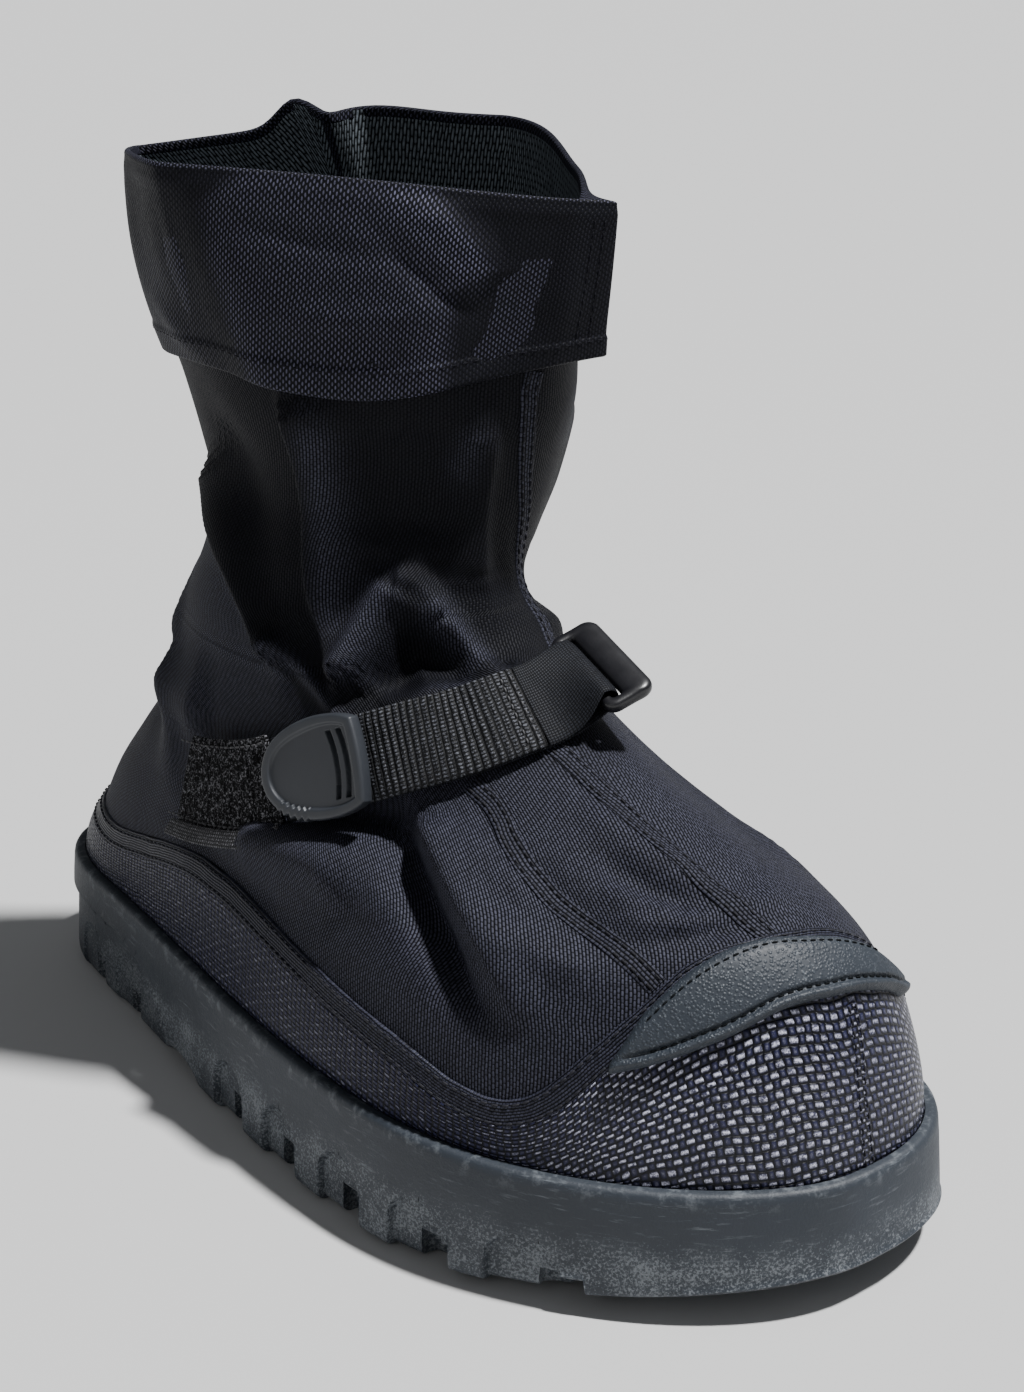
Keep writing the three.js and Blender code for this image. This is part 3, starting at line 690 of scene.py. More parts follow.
@dataclass(frozen=True)
class Moulded:
    """Moulded plastic or thread: one tone, fine grain and light wear."""

    name: str
    colour: Colour
    rough: float
    grain: float = 0.05
    coat: float = 0.0
    shine: float = 0.5

    def material(self) -> bpy.types.Material:
        """Faint cloudy tone, fine grain in the relief.

        Returns:
            The material.
        """
        t = Tree(self.name)
        cloud = t.noise(5.0, 4.0, 0.6)
        colour = t.shades(cloud, self.colour, 0.8, 1.25)
        normal = t.bump(t.noise(0.5, 2.0), self.grain)
        return t.finish(
            Base_Color=colour,
            Roughness=self.rough + (cloud - 0.5) * 0.15,
            Normal=normal,
            Coat_Weight=self.coat,
            Coat_Roughness=0.2,
            Specular_IOR_Level=self.shine,
        )


@dataclass(frozen=True)
class RibbedWebbing:
    """Webbing with coarse ribs across it and rough twisted threads."""

    name: str = "ribbed_webbing"
    pitch: float = 2.1
    colour: Colour = (0.0020, 0.0022, 0.0030)
    # Colour of the painted highlight on the crowns of the ribs.
    tips: Colour = (0.105, 0.110, 0.130)
    thread: float = 1.05

    def material(self) -> bpy.types.Material:
        """Ribs from a sine along the strap, broken by threads running lengthwise.

        Returns:
            The material.
        """
        t = Tree(self.name)
        u, v = t.surface_mm()
        u = u + (t.noise(3.0, 2.0) - 0.5) * 0.5
        rib = 1.0 - ((u / self.pitch).fraction() * 2.0 - 1.0) ** 2.0
        thread = 1.0 - ((v / self.thread).fraction() * 2.0 - 1.0) ** 2.0
        hair = t.noise(0.55, 3.0, 0.7)
        height = rib * 0.6 + rib * thread * 0.4 + hair * 0.25
        # Painted highlight: the crowns of the ribs and threads are painted towards the tip colour.
        painted_glint = (rib * thread).ramp(0.35, 0.9) * hair.ramp(0.42, 0.62)
        colour = t.mix(painted_glint, self.colour, self.tips)
        normal = t.bump(height, 0.5)
        return t.finish(
            Base_Color=colour, Roughness=0.55 + hair * 0.2, Normal=normal, Specular_IOR_Level=0.25
        )


@dataclass(frozen=True)
class PileCloth:
    """Fuzzy loop pile: deep, rough and almost black, with paler loop tips."""

    name: str = "strap_pile"
    colour: Colour = (0.0010, 0.0010, 0.0014)
    tips: Colour = (0.17, 0.17, 0.185)

    def material(self) -> bpy.types.Material:
        """Two sizes of noise make the tufts and the loops on them.

        Returns:
            The material.
        """
        t = Tree(self.name)
        tuft = t.noise(1.5, 3.0, 0.7)
        loop = t.noise(0.6, 2.0, 0.7)
        tip = (tuft * 0.4 + loop * 0.6).ramp(0.51, 0.62)
        colour = t.mix(tip, self.colour, self.tips)
        normal = t.bump(tuft * 0.5 + loop * 0.5, 1.0)
        return t.finish(Base_Color=colour, Roughness=0.85, Normal=normal, Specular_IOR_Level=0.1)


# The last: the upper's own surface


COLUMNS = "xf yf zf xb yb zb l0 l1 l2 l3 m0 m1 m2 m3 rb rfl rfm nb nf crown swing".split()


@dataclass(frozen=True)
class Last:
    """The form that the whole shoe follows, from the same sizes and table as its solids.

    A row of sections holds a level, then the columns: front and back ends (x in toe swings, y in half sole
    lengths, z above the rim in shares of the collar's height above it), half widths of the outer and inner
    side from back to front in half ball widths, rounded shares and fullness of the ends, the crown of the
    sides, and how late the toe turns in.
    """

    sole_length: float = 325.0
    ball_width: float = 125.0
    toe_swing: float = 32.0
    rim_height: float = 37.5
    heel_rise: float = 2.5
    collar_height: float = 273.0
    cup_floor: float = 18.0
    cup_slope: float = 4.2
    rim_ledge: float = 3.0
    clearance: float = 0.3
    rand_gap: float = 0.5
    rand_thickness: float = 1.5
    wall: float = 0.8
    inner_crown: float = 1.5
    rim_level: float = 0.09
    rows: tuple = (
        (0.17, 0.95, -0.948, 0.087, 0.00, 0.942, 0.079, 0.64, 0.75, 0.90, 0.74, 0.61, 0.65, 0.89,
         0.86, 0.18, 0.35, 0.18, 2.4, 2.30, 0.000, 4.0),
        (0.25, 0.94, -0.902, 0.176, 0.00, 0.898, 0.147, 0.58, 0.72, 0.85, 0.70, 0.56, 0.62, 0.80,
         0.79, 0.20, 0.36, 0.20, 2.3, 2.30, 0.000, 3.5),
        (0.31, 0.88, -0.834, 0.236, 0.06, 0.849, 0.206, 0.54, 0.69, 0.79, 0.66, 0.52, 0.61, 0.74,
         0.71, 0.24, 0.38, 0.24, 2.2, 2.20, 0.000, 3.0),
        (0.37, 0.75, -0.702, 0.282, 0.16, 0.800, 0.265, 0.54, 0.66, 0.73, 0.61, 0.50, 0.61, 0.66,
         0.63, 0.30, 0.42, 0.32, 2.1, 2.10, 0.000, 2.6),
        (0.43, 0.63, -0.523, 0.335, 0.25, 0.763, 0.325, 0.58, 0.66, 0.67, 0.58, 0.51, 0.62, 0.63,
         0.58, 0.36, 0.46, 0.40, 2.0, 2.00, 0.000, 2.2),
        (0.49, 0.56, -0.320, 0.401, 0.31, 0.738, 0.384, 0.61, 0.67, 0.66, 0.58, 0.54, 0.64, 0.64,
         0.56, 0.42, 0.50, 0.46, 2.0, 2.00, 0.000, 1.8),
        (0.55, 0.56, -0.166, 0.465, 0.38, 0.708, 0.444, 0.62, 0.69, 0.67, 0.59, 0.58, 0.66, 0.67,
         0.59, 0.48, 0.50, 0.50, 2.0, 2.00, 0.000, 1.5),
        (0.62, 0.63, -0.098, 0.541, 0.47, 0.665, 0.520, 0.59, 0.65, 0.66, 0.61, 0.58, 0.64, 0.66,
         0.61, 0.50, 0.50, 0.50, 2.0, 2.00, 0.000, 1.2),
        (0.70, 0.81, -0.105, 0.631, 0.56, 0.658, 0.609, 0.61, 0.66, 0.67, 0.64, 0.61, 0.67, 0.69,
         0.66, 0.50, 0.50, 0.50, 2.0, 2.00, 0.000, 1.0),
        (0.80, 0.94, -0.142, 0.732, 0.44, 0.708, 0.724, 0.70, 0.77, 0.77, 0.70, 0.70, 0.77, 0.78,
         0.72, 0.50, 0.50, 0.50, 1.8, 1.90, 0.008, 1.0),
        (0.88, 1.03, -0.160, 0.830, 0.16, 0.757, 0.826, 0.77, 0.86, 0.86, 0.77, 0.77, 0.86, 0.86,
         0.77, 0.50, 0.50, 0.50, 1.5, 1.60, 0.021, 1.0),
        (1.00, 1.19, -0.191, 0.984, -0.16, 0.825, 0.983, 0.82, 0.94, 0.94, 0.80, 0.85, 0.96, 0.93,
         0.74, 0.50, 0.50, 0.50, 1.2, 1.35, 0.036, 1.0),
    )
    waves: tuple = (
        (128, 4.5, 7.0, 0.0), (115, 12, 4.0, 0.0), (180, 45, 2.5, 0.0), (122.5, 3.6, 0.0, 9.0),
        (55, 14, -2.5, 0.0),
    )
    sole_row: tuple = (
        1, -1, 0, 0, 1, 0, 0.750, 0.848, 1.013, 0.832, 0.707, 0.736, 0.984, 0.915,
        0.17, 0.34, 0.17, 2.8, 2.36, 0, 4.0,
    )

    @property
    def skin_inset(self) -> float:
        """Distance from the sole's outline in to the upper at the rim."""
        return self.rim_ledge + self.clearance + self.rand_thickness + self.rand_gap

    def sized(self, row: np.ndarray) -> np.ndarray:
        """A row of shares as millimetres."""
        tall = self.collar_height - self.rim_height
        swing, half_length, half_width = self.toe_swing, self.sole_length / 2, self.ball_width / 2
        scale = np.array(
            [swing, half_length, tall, swing, half_length, tall] + [half_width] * 8 + [1] * 5 + [tall, 1]
        )
        shift = np.array([0, 0, self.rim_height, 0, 0, self.rim_height] + [0] * 15)
        return np.asarray(row, float) * scale + shift

    def rim_at(self, share: np.ndarray) -> np.ndarray:
        """Height of the rim at a share of the length, from the heel."""
        return self.rim_height + self.heel_rise * (1 - share)

    def outline_row(self, inset: np.ndarray, front: np.ndarray, back: np.ndarray) -> np.ndarray:
        """Rows of the sole's outline, each pulled in by its inset, at its two heights."""
        inset, front, back = arrays(inset, front, back)
        row = np.broadcast_to(self.sized(np.array(self.sole_row)), inset.shape + (21,)).copy()
        row[..., 1] += inset
        row[..., 4] -= inset
        row[..., 6:14] -= inset[..., None]
        row[..., 2] = front
        row[..., 5] = back
        return row

    def table(self) -> np.ndarray:
        """The sections in millimetres, with the cup's floor and the rim first."""
        low = self.cup_floor + self.clearance
        floor = self.outline_row(self.skin_inset + self.cup_slope, low, low)
        rim = self.outline_row(self.skin_inset, self.rim_at(1.0), self.rim_at(0.0))
        body = [np.r_[row[0], self.sized(np.array(row[1:]))] for row in self.rows]
        return np.vstack([np.r_[0.0, floor], np.r_[self.rim_level, rim], *body])

    def on_section(self, row: np.ndarray, degrees: np.ndarray) -> np.ndarray:
        """Points of sections at angles.

        The half width is the cubic through four stations at thirds of the length, closed at each end by
        (1 - (1 - e)^n)^(1/n) over the rounded share e. The middle line swings from back to front.

        Args:
            row: section columns, one row for each angle.
            degrees: the angles.

        Returns:
            The points.
        """
        a = np.radians(degrees)
        c = {name: row[..., i] for i, name in enumerate(COLUMNS)}
        s = (1 + np.cos(a)) / 2
        inner = np.sin(a) >= 0
        w = [np.where(inner, c[f"m{i}"], -c[f"l{i}"]) for i in range(4)]
        t = 3 * s
        half = (
            -w[0] * (t - 1) * (t - 2) * (t - 3)
            + 3 * w[1] * t * (t - 2) * (t - 3)
            - 3 * w[2] * t * (t - 1) * (t - 3)
            + w[3] * t * (t - 1) * (t - 2)
        ) / 6

        def end(e: np.ndarray, n: np.ndarray) -> np.ndarray:
            """How far an end is closed."""
            return np.maximum(0, 1 - (1 - np.clip(e, 0, 1)) ** n) ** (1 / n)

        ends = end(s / c["rb"], c["nb"]) * end((1 - s) / np.where(inner, c["rfm"], c["rfl"]), c["nf"])
        x = c["xb"] + (c["xf"] - c["xb"]) * s ** c["swing"] + half * ends
        rise = c["crown"] * np.where(inner, self.inner_crown, 1.0) * np.sin(a) ** 2
        y = c["yb"] + (c["yf"] - c["yb"]) * s
        z = c["zb"] + (c["zf"] - c["zb"]) * s + rise
        return np.stack([x, y, z], -1)

    def point(self, degrees: np.ndarray, level: np.ndarray) -> np.ndarray:
        """Points of the upper's surface: its sections, waved near the collar.

        Each wave is a bell across its angle: it lifts the collar, and pulls it towards the middle.

        Args:
            degrees: angles.
            level: levels.

        Returns:
            The points.
        """
        degrees, level = arrays(degrees, level)
        rows = through_rows(self.table(), level)
        points = self.on_section(rows, degrees)
        inward = (rows[..., [0, 1]] + rows[..., [3, 4]]) / 2 - points[..., :2]
        top = smooth((level - 0.86) / 0.14)
        for centre, width, rise, pull in self.waves:
            strength = top * bell(turned(degrees, centre) / width)
            points[..., 2] += rise * strength
            points[..., :2] += unit(inward) * (pull * strength)[..., None]
        return points

    def normal(self, degrees: np.ndarray, level: np.ndarray) -> np.ndarray:
        """Outward directions, from small steps round and up the surface."""
        degrees, level = arrays(degrees, level)
        around = self.point(degrees + 1.2, level) - self.point(degrees - 1.2, level)
        up = self.point(degrees, np.minimum(level + 0.002, 1)) - self.point(
            degrees, np.maximum(level - 0.002, 0)
        )
        return unit(np.cross(around, up))

    def sole_ring(self, degrees: np.ndarray, inset: np.ndarray, height: np.ndarray) -> np.ndarray:
        """Points of the sole's outline pulled in by an inset, at given heights."""
        degrees, inset, height = arrays(degrees, inset, height)
        points = self.on_section(self.outline_row(inset, 0.0, 0.0), degrees)
        points[..., 2] = height
        return points

    def over(self, degrees: np.ndarray, level: np.ndarray, distance: np.ndarray) -> np.ndarray:
        """Points at a distance outside the upper; inside the cup they keep to the sole's outline."""
        degrees, level, distance = arrays(degrees, level, distance)
        free = self.point(degrees, level) + self.normal(degrees, level) * distance[..., None]
        share = np.clip(level / self.rim_level, 0, 1)
        inset = self.skin_inset + self.cup_slope * (1 - share) - distance
        low = self.cup_floor + self.clearance
        front = low + (self.rim_at(1.0) - low) * share
        back = low + (self.rim_at(0.0) - low) * share
        cupped = self.on_section(self.outline_row(inset, front, back), degrees)
        mix = smooth((level - self.rim_level) / 0.02)[..., None]
        return cupped + (free - cupped) * mix


LAST = Last()


def frame_shift() -> np.ndarray:
    """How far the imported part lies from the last's own frame, from the outsole's box and its widest ring."""
    low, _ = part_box("outsole")
    flare = 2.2
    ring = LAST.sole_ring(np.arange(48) * 7.5, np.full(48, -flare), np.zeros(48))
    return np.array([low.x / MM - ring[:, 0].min(), low.y / MM - ring[:, 1].min(), 0.0])


SHIFT = frame_shift()


# Folds of the upper


@dataclass(frozen=True)
class Fold:
    """A ridge or trough pressed along a route on the upper.

    Attributes:
        name: what it is.
        route: (degrees, level) places along it.
        height: millimetres out, or in where negative.
        left: width on its left, looking along the route from outside, in millimetres.
        right: width on its right.
        fade: share of its length over which it fades at each end.
    """

    name: str
    route: tuple[tuple[float, float], ...]
    height: float
    left: float
    right: float
    fade: float = 0.25

    def relief(self, points: np.ndarray, normals: np.ndarray) -> np.ndarray:
        """Height of the fold at points of the surface.

        The distance to the nearest stretch of the route, in widths of the side that the point is on, goes
        through a bell curve; it fades towards both ends of the route.

        Args:
            points: places on the plain surface.
            normals: outward directions there.

        Returns:
            Millimetres outwards.
        """
        knots = np.array(self.route)
        line = along_points(LAST.point(knots[:, 0], knots[:, 1]), 36)
        tangent = unit(np.gradient(line, axis=0))
        share = np.linspace(0, 1, len(line))
        reach = 3.0 * max(self.left, self.right)
        near = np.all((points > line.min(0) - reach) & (points < line.max(0) + reach), axis=-1)
        out = np.zeros(points.shape[:-1])
        p, n = points[near], normals[near]
        if not len(p):
            return out
        gap = np.linalg.norm(p[:, None] - line[None], axis=-1)
        k = gap.argmin(1)
        delta = p - line[k]
        t = tangent[k]
        beyond = np.einsum("ij,ij->i", delta, t)
        flat = delta - beyond[:, None] * t
        distance = np.linalg.norm(flat, axis=-1)
        side = np.einsum("ij,ij->i", np.cross(t, flat), n)
        width = np.where(side > 0, self.left, self.right)
        at_end = (k == 0) | (k == len(line) - 1)
        ends = np.where(at_end, bell(np.abs(beyond) / max(self.left, self.right)), 1.0)
        fade = 0.25 + 0.75 * (smooth(share[k] / self.fade) * smooth((1 - share[k]) / self.fade))
        out[near] = self.height * bell(distance / width) * fade * ends
        return out


FOLDS = (
    Fold(
        "shaft back edge",
        ((237, 0.72), (243, 0.68), (250, 0.65), (260, 0.625), (270, 0.595), (279, 0.555), (284, 0.515)),
        6.5, 17, 3.5, 0.12,
    ),
    Fold(
        "hollow before the back edge",
        ((258, 0.78), (266, 0.70), (274, 0.64), (283, 0.585), (290, 0.545)),
        -3.0, 9, 9, 0.2,
    ),
    Fold(
        "front crease",
        ((287, 0.82), (289.5, 0.76), (292, 0.69), (297, 0.62), (300.5, 0.56), (296, 0.50)),
        5.5, 15, 2.2, 0.1,
    ),
    Fold("trough right of the crease", ((312, 0.80), (316, 0.72), (320, 0.65)), -3.5, 12, 12, 0.25),
    Fold("fold end by the tab", ((279, 0.545), (285, 0.535), (290, 0.505), (292, 0.46)), 5.0, 3.0, 7, 0.2),
    Fold("pit by the tab", ((283, 0.52), (287, 0.49), (288, 0.455)), -5.0, 5, 5, 0.2),
    Fold(
        "gather left limb",
        ((297, 0.510), (304, 0.535), (311, 0.565), (317, 0.600), (322, 0.625)),
        5.5, 3.5, 9, 0.12,
    ),
    Fold("gather crest", ((321, 0.625), (328, 0.622), (333, 0.605), (337, 0.580)), 4.5, 3.5, 8, 0.15),
    Fold(
        "gather right limb",
        ((336, 0.590), (340, 0.553), (345, 0.528), (352, 0.525), (360, 0.535)),
        5.0, 4, 8, 0.15,
    ),
    Fold(
        "gather hollow",
        ((306, 0.505), (314, 0.525), (324, 0.548), (333, 0.540), (338, 0.525)),
        -5.5, 6, 6, 0.2,
    ),
    Fold("pleat under the gather", ((303, 0.497), (315, 0.507), (328, 0.517), (338, 0.507)), 3.2, 3, 3, 0.25),
    Fold(
        "deep fold",
        ((293, 0.400), (295.5, 0.343), (298.5, 0.297), (302.5, 0.255), (307.0, 0.215)),
        -8.5, 3.6, 6.0, 0.15,
    ),
    Fold(
        "ridge beside the deep fold",
        ((300, 0.415), (302.5, 0.345), (305.5, 0.300), (309.5, 0.255), (313, 0.215)),
        5.5, 8.0, 3.5, 0.15,
    ),
    Fold("mound below the tab", ((258, 0.290), (268, 0.312), (279, 0.322), (287, 0.315)), 7.5, 11, 9, 0.25),
    Fold(
        "hollow under the strap",
        ((250, 0.320), (262, 0.352), (276, 0.378), (290, 0.400), (304, 0.415)),
        -6.0, 7, 7, 0.2,
    ),
    Fold("side crease low", ((240, 0.262), (252, 0.252), (264, 0.250), (276, 0.240)), -3.0, 5, 5, 0.3),
    Fold("heel bulge", ((222, 0.45), (232, 0.43), (243, 0.42), (252, 0.43)), 6.0, 14, 12, 0.3),
    Fold("vamp wave one", ((306, 0.330), (314, 0.300), (322, 0.282)), 2.4, 5, 6, 0.3),
    Fold("vamp wave two", ((315, 0.390), (320, 0.350), (326, 0.322)), -2.2, 5, 5, 0.3),
    Fold("vamp wave three", ((306, 0.405), (312, 0.372), (318, 0.345)), 2.0, 5, 5, 0.3),
    Fold("vamp crumple one", ((338, 0.440), (346, 0.405), (352, 0.370)), 2.2, 4, 6, 0.3),
    Fold("vamp crumple two", ((330, 0.400), (340, 0.370), (350, 0.352)), -2.2, 4, 4, 0.3),
    Fold("toe crumple one", ((326, 0.345), (336, 0.340), (346, 0.345)), 2.2, 2.5, 4, 0.3),
    Fold("toe crumple two", ((330, 0.325), (340, 0.334), (352, 0.338)), -2.2, 2.5, 3, 0.3),
    Fold("toe crumple three", ((350, 0.365), (2, 0.350), (14, 0.352)), 1.5, 4, 5, 0.3),
    Fold("toe crumple four", ((328, 0.375), (334, 0.358), (342, 0.352)), 1.8, 2.5, 3.5, 0.3),
    Fold("inner gather one", ((20, 0.560), (40, 0.540), (60, 0.530), (80, 0.540)), 4.2, 6, 8, 0.3),
    Fold("inner gather two", ((24, 0.610), (44, 0.590), (66, 0.575), (92, 0.590)), -4.5, 7, 7, 0.3),
    Fold("inner shaft crease", ((60, 0.800), (58, 0.720), (62, 0.640), (70, 0.580)), 4.5, 3.5, 12, 0.2),
    Fold("inner shaft trough", ((84, 0.800), (84, 0.720), (88, 0.640), (98, 0.590)), -4.0, 9, 9, 0.2),
    Fold("inner vamp crease", ((70, 0.470), (58, 0.400), (50, 0.330), (46, 0.270)), -5.0, 4.5, 6, 0.25),
    Fold("inner vamp ridge", ((64, 0.480), (52, 0.410), (44, 0.340), (40, 0.280)), 3.4, 4, 7, 0.25),
    Fold("inner heel drape", ((120, 0.500), (118, 0.420), (112, 0.340)), 4.5, 7, 9, 0.3),
    Fold("heel crease one", ((160, 0.520), (182, 0.500), (204, 0.520)), -4.0, 5, 7, 0.3),
    Fold("heel crease two", ((150, 0.440), (180, 0.425), (212, 0.450), (236, 0.480)), -3.6, 5, 7, 0.3),
    Fold("heel roll", ((146, 0.480), (180, 0.462), (210, 0.480)), 3.6, 6, 6, 0.3),
    Fold("heel drape", ((222, 0.560), (226, 0.470), (232, 0.380), (238, 0.300)), 3.6, 7, 10, 0.3),
    Fold("heel hollow", ((212, 0.560), (214, 0.470), (219, 0.380)), -3.4, 8, 8, 0.3),
    Fold("shaft back crease", ((200, 0.800), (205, 0.720), (214, 0.640), (224, 0.580)), -4.0, 5, 9, 0.3),
    Fold("shaft inner trough", ((326, 0.810), (330, 0.740), (336, 0.670), (340, 0.640)), -3.0, 8, 8, 0.3),
    Fold("shaft front fold", ((342, 0.810), (345, 0.740), (350, 0.660), (355, 0.600)), 3.6, 3.5, 10, 0.2),
)


def folded(degrees: np.ndarray, level: np.ndarray, distance: np.ndarray | float = 0.0) -> np.ndarray:
    """Points over the creased upper.

    Args:
        degrees: angles.
        level: levels.
        distance: millimetres off the cloth.

    Returns:
        The points.
    """
    degrees, level = arrays(degrees, level)
    plain = LAST.point(degrees, level)
    normal = LAST.normal(degrees, level)
    relief = sum(fold.relief(plain, normal) for fold in FOLDS)
    free = smooth((level - 0.20) / 0.10) * (1 - smooth((level - 0.80) / 0.05) * 0.6)
    return LAST.over(degrees, level, relief * free + distance)


def arc_uv(points: np.ndarray) -> np.ndarray:
    """UV map of a grid in millimetres: length along each row from its first point, and up the rows."""
    across = np.linalg.norm(np.diff(points, axis=1), axis=-1)
    u = np.concatenate([np.zeros((len(points), 1)), np.cumsum(across, axis=1)], axis=1)
    u = u - u[:, [u.shape[1] // 2]]
    up = np.linalg.norm(np.diff(points, axis=0), axis=-1).mean(1)
    v = np.r_[0.0, np.cumsum(up)]
    return np.stack([u, np.broadcast_to(v[:, None], u.shape)], -1)


def shell(outside: np.ndarray, inside: np.ndarray, wrap: bool = False) -> Patch:
    """A sheet with a thickness: its outer face, then its inner face with the rows running back."""
    uv = arc_uv(outside)
    return Patch(np.concatenate([outside, inside]), np.concatenate([uv, uv[::-1]]), wrap=wrap, loop=True)


def spaced(dense: tuple[float, float], fine: int, coarse: int) -> np.ndarray:
    """Angles for a whole turn, closer together in one range.

    Args:
        dense: first and last degree of the close range.
        fine: how many angles in it.
        coarse: how many in the rest.

    Returns:
        Rising angles, one turn in all, with the far side split evenly at both ends.
    """
    low, high = dense
    rest = (360.0 - (high - low)) / 2
    before = np.linspace(low - rest, low, coarse // 2, endpoint=False)
    after = np.linspace(high, high + rest, coarse // 2, endpoint=False)
    return np.concatenate([before, np.linspace(low, high, fine, endpoint=False), after])


def beside(route: np.ndarray, offsets: np.ndarray) -> tuple[np.ndarray, np.ndarray]:
    """Places on the upper at distances to the left of a route.

    The distance is turned into steps of angle and level with the two slopes of the surface there.

    Args:
        route: rows of degrees and level.
        offsets: millimetres across, one for each column of the result.

    Returns:
        Degrees and levels, one row for each place of the route.
    """
    degrees, level = route[:, 0], route[:, 1]
    step = np.array([1.0, 0.003])
    around = (LAST.point(degrees + step[0], level) - LAST.point(degrees - step[0], level)) / (2 * step[0])
    up = (LAST.point(degrees, level + step[1]) - LAST.point(degrees, level - step[1])) / (2 * step[1])
    normal = unit(np.cross(around, up))
    line = LAST.point(degrees, level)
    side = unit(np.cross(normal, np.gradient(line, axis=0)))
    aa, uu, au = (around**2).sum(-1), (up**2).sum(-1), (around * up).sum(-1)
    sa, su = (side * around).sum(-1), (side * up).sum(-1)
    det = aa * uu - au**2
    turn = (sa * uu - su * au) / det
    rise = (su * aa - sa * au) / det
    return degrees[:, None] + offsets[None] * turn[:, None], level[:, None] + offsets[None] * rise[:, None]


def even_route(knots: tuple[tuple[float, float], ...], step: float) -> np.ndarray:
    """Places along a smooth route on the upper, about one step of millimetres apart.

    Args:
        knots: degrees and levels.
        step: distance between places.

    Returns:
        Rows of degrees and level.
    """
    stretch = np.array([1.0, 500.0])
    fine = along_points(np.array(knots) * stretch, 400) / stretch
    run = run_of(LAST.point(fine[:, 0], fine[:, 1]))
    return picked(np.linspace(0, run[-1], max(int(run[-1] / step), 4)), run, fine)


def ribbon(route: np.ndarray, width: float, height: float, base: tuple[float, float], slot: int = 0) -> Patch:
    """A flat strip of cloth laid along a route, with rounded long edges.

    Across the strip the height is that of a superellipse: height * (1 - |t|^6)^(1/2).

    Args:
        route: rows of degrees and level.
        width: its width.
        height: its thickness.
        base: how far its left and its right edge lie off the cloth below.
        slot: number of the material.

    Returns:
        The grid.
    """
    t = np.r_[-1.0, -0.97, -0.9, -0.7, -0.4, 0, 0.4, 0.7, 0.9, 0.97, 1.0]
    offsets = -t * width / 2
    degrees, level = beside(route, offsets)
    floor = np.interp(t, (-1, 1), base)
    lift = floor + height * np.sqrt(np.maximum(1 - np.abs(t) ** 6, 0))
    lift[[0, -1]] = floor[[0, -1]] - 0.5
    points = folded(degrees, level, np.broadcast_to(lift, degrees.shape))
    uv = np.stack(arrays(offsets[None], run_of(points[:, 5])[:, None]), -1)
    return Patch(points, uv, slot=slot)


def sewn(route: np.ndarray, offset: float, lift: float) -> tuple[np.ndarray, np.ndarray]:
    """Points and outward directions of a stitch line beside a route.

    Args:
        route: rows of degrees and level.
        offset: millimetres to the left of it.
        lift: millimetres off the plain cloth.

    Returns:
        Points and directions.
    """
    degrees, level = beside(route, np.array([offset]))
    points = folded(degrees[:, 0], level[:, 0], lift)
    return points, LAST.normal(degrees[:, 0], level[:, 0])


# Upper: shaft, vamp, rand and bumper


@dataclass(frozen=True)
class Seam:
    """A felled seam of the upper: a raised strip with rows of stitches along it."""

    name: str
    knots: tuple[tuple[float, float], ...]
    width: float
    height: float
    rows: tuple[float, ...]


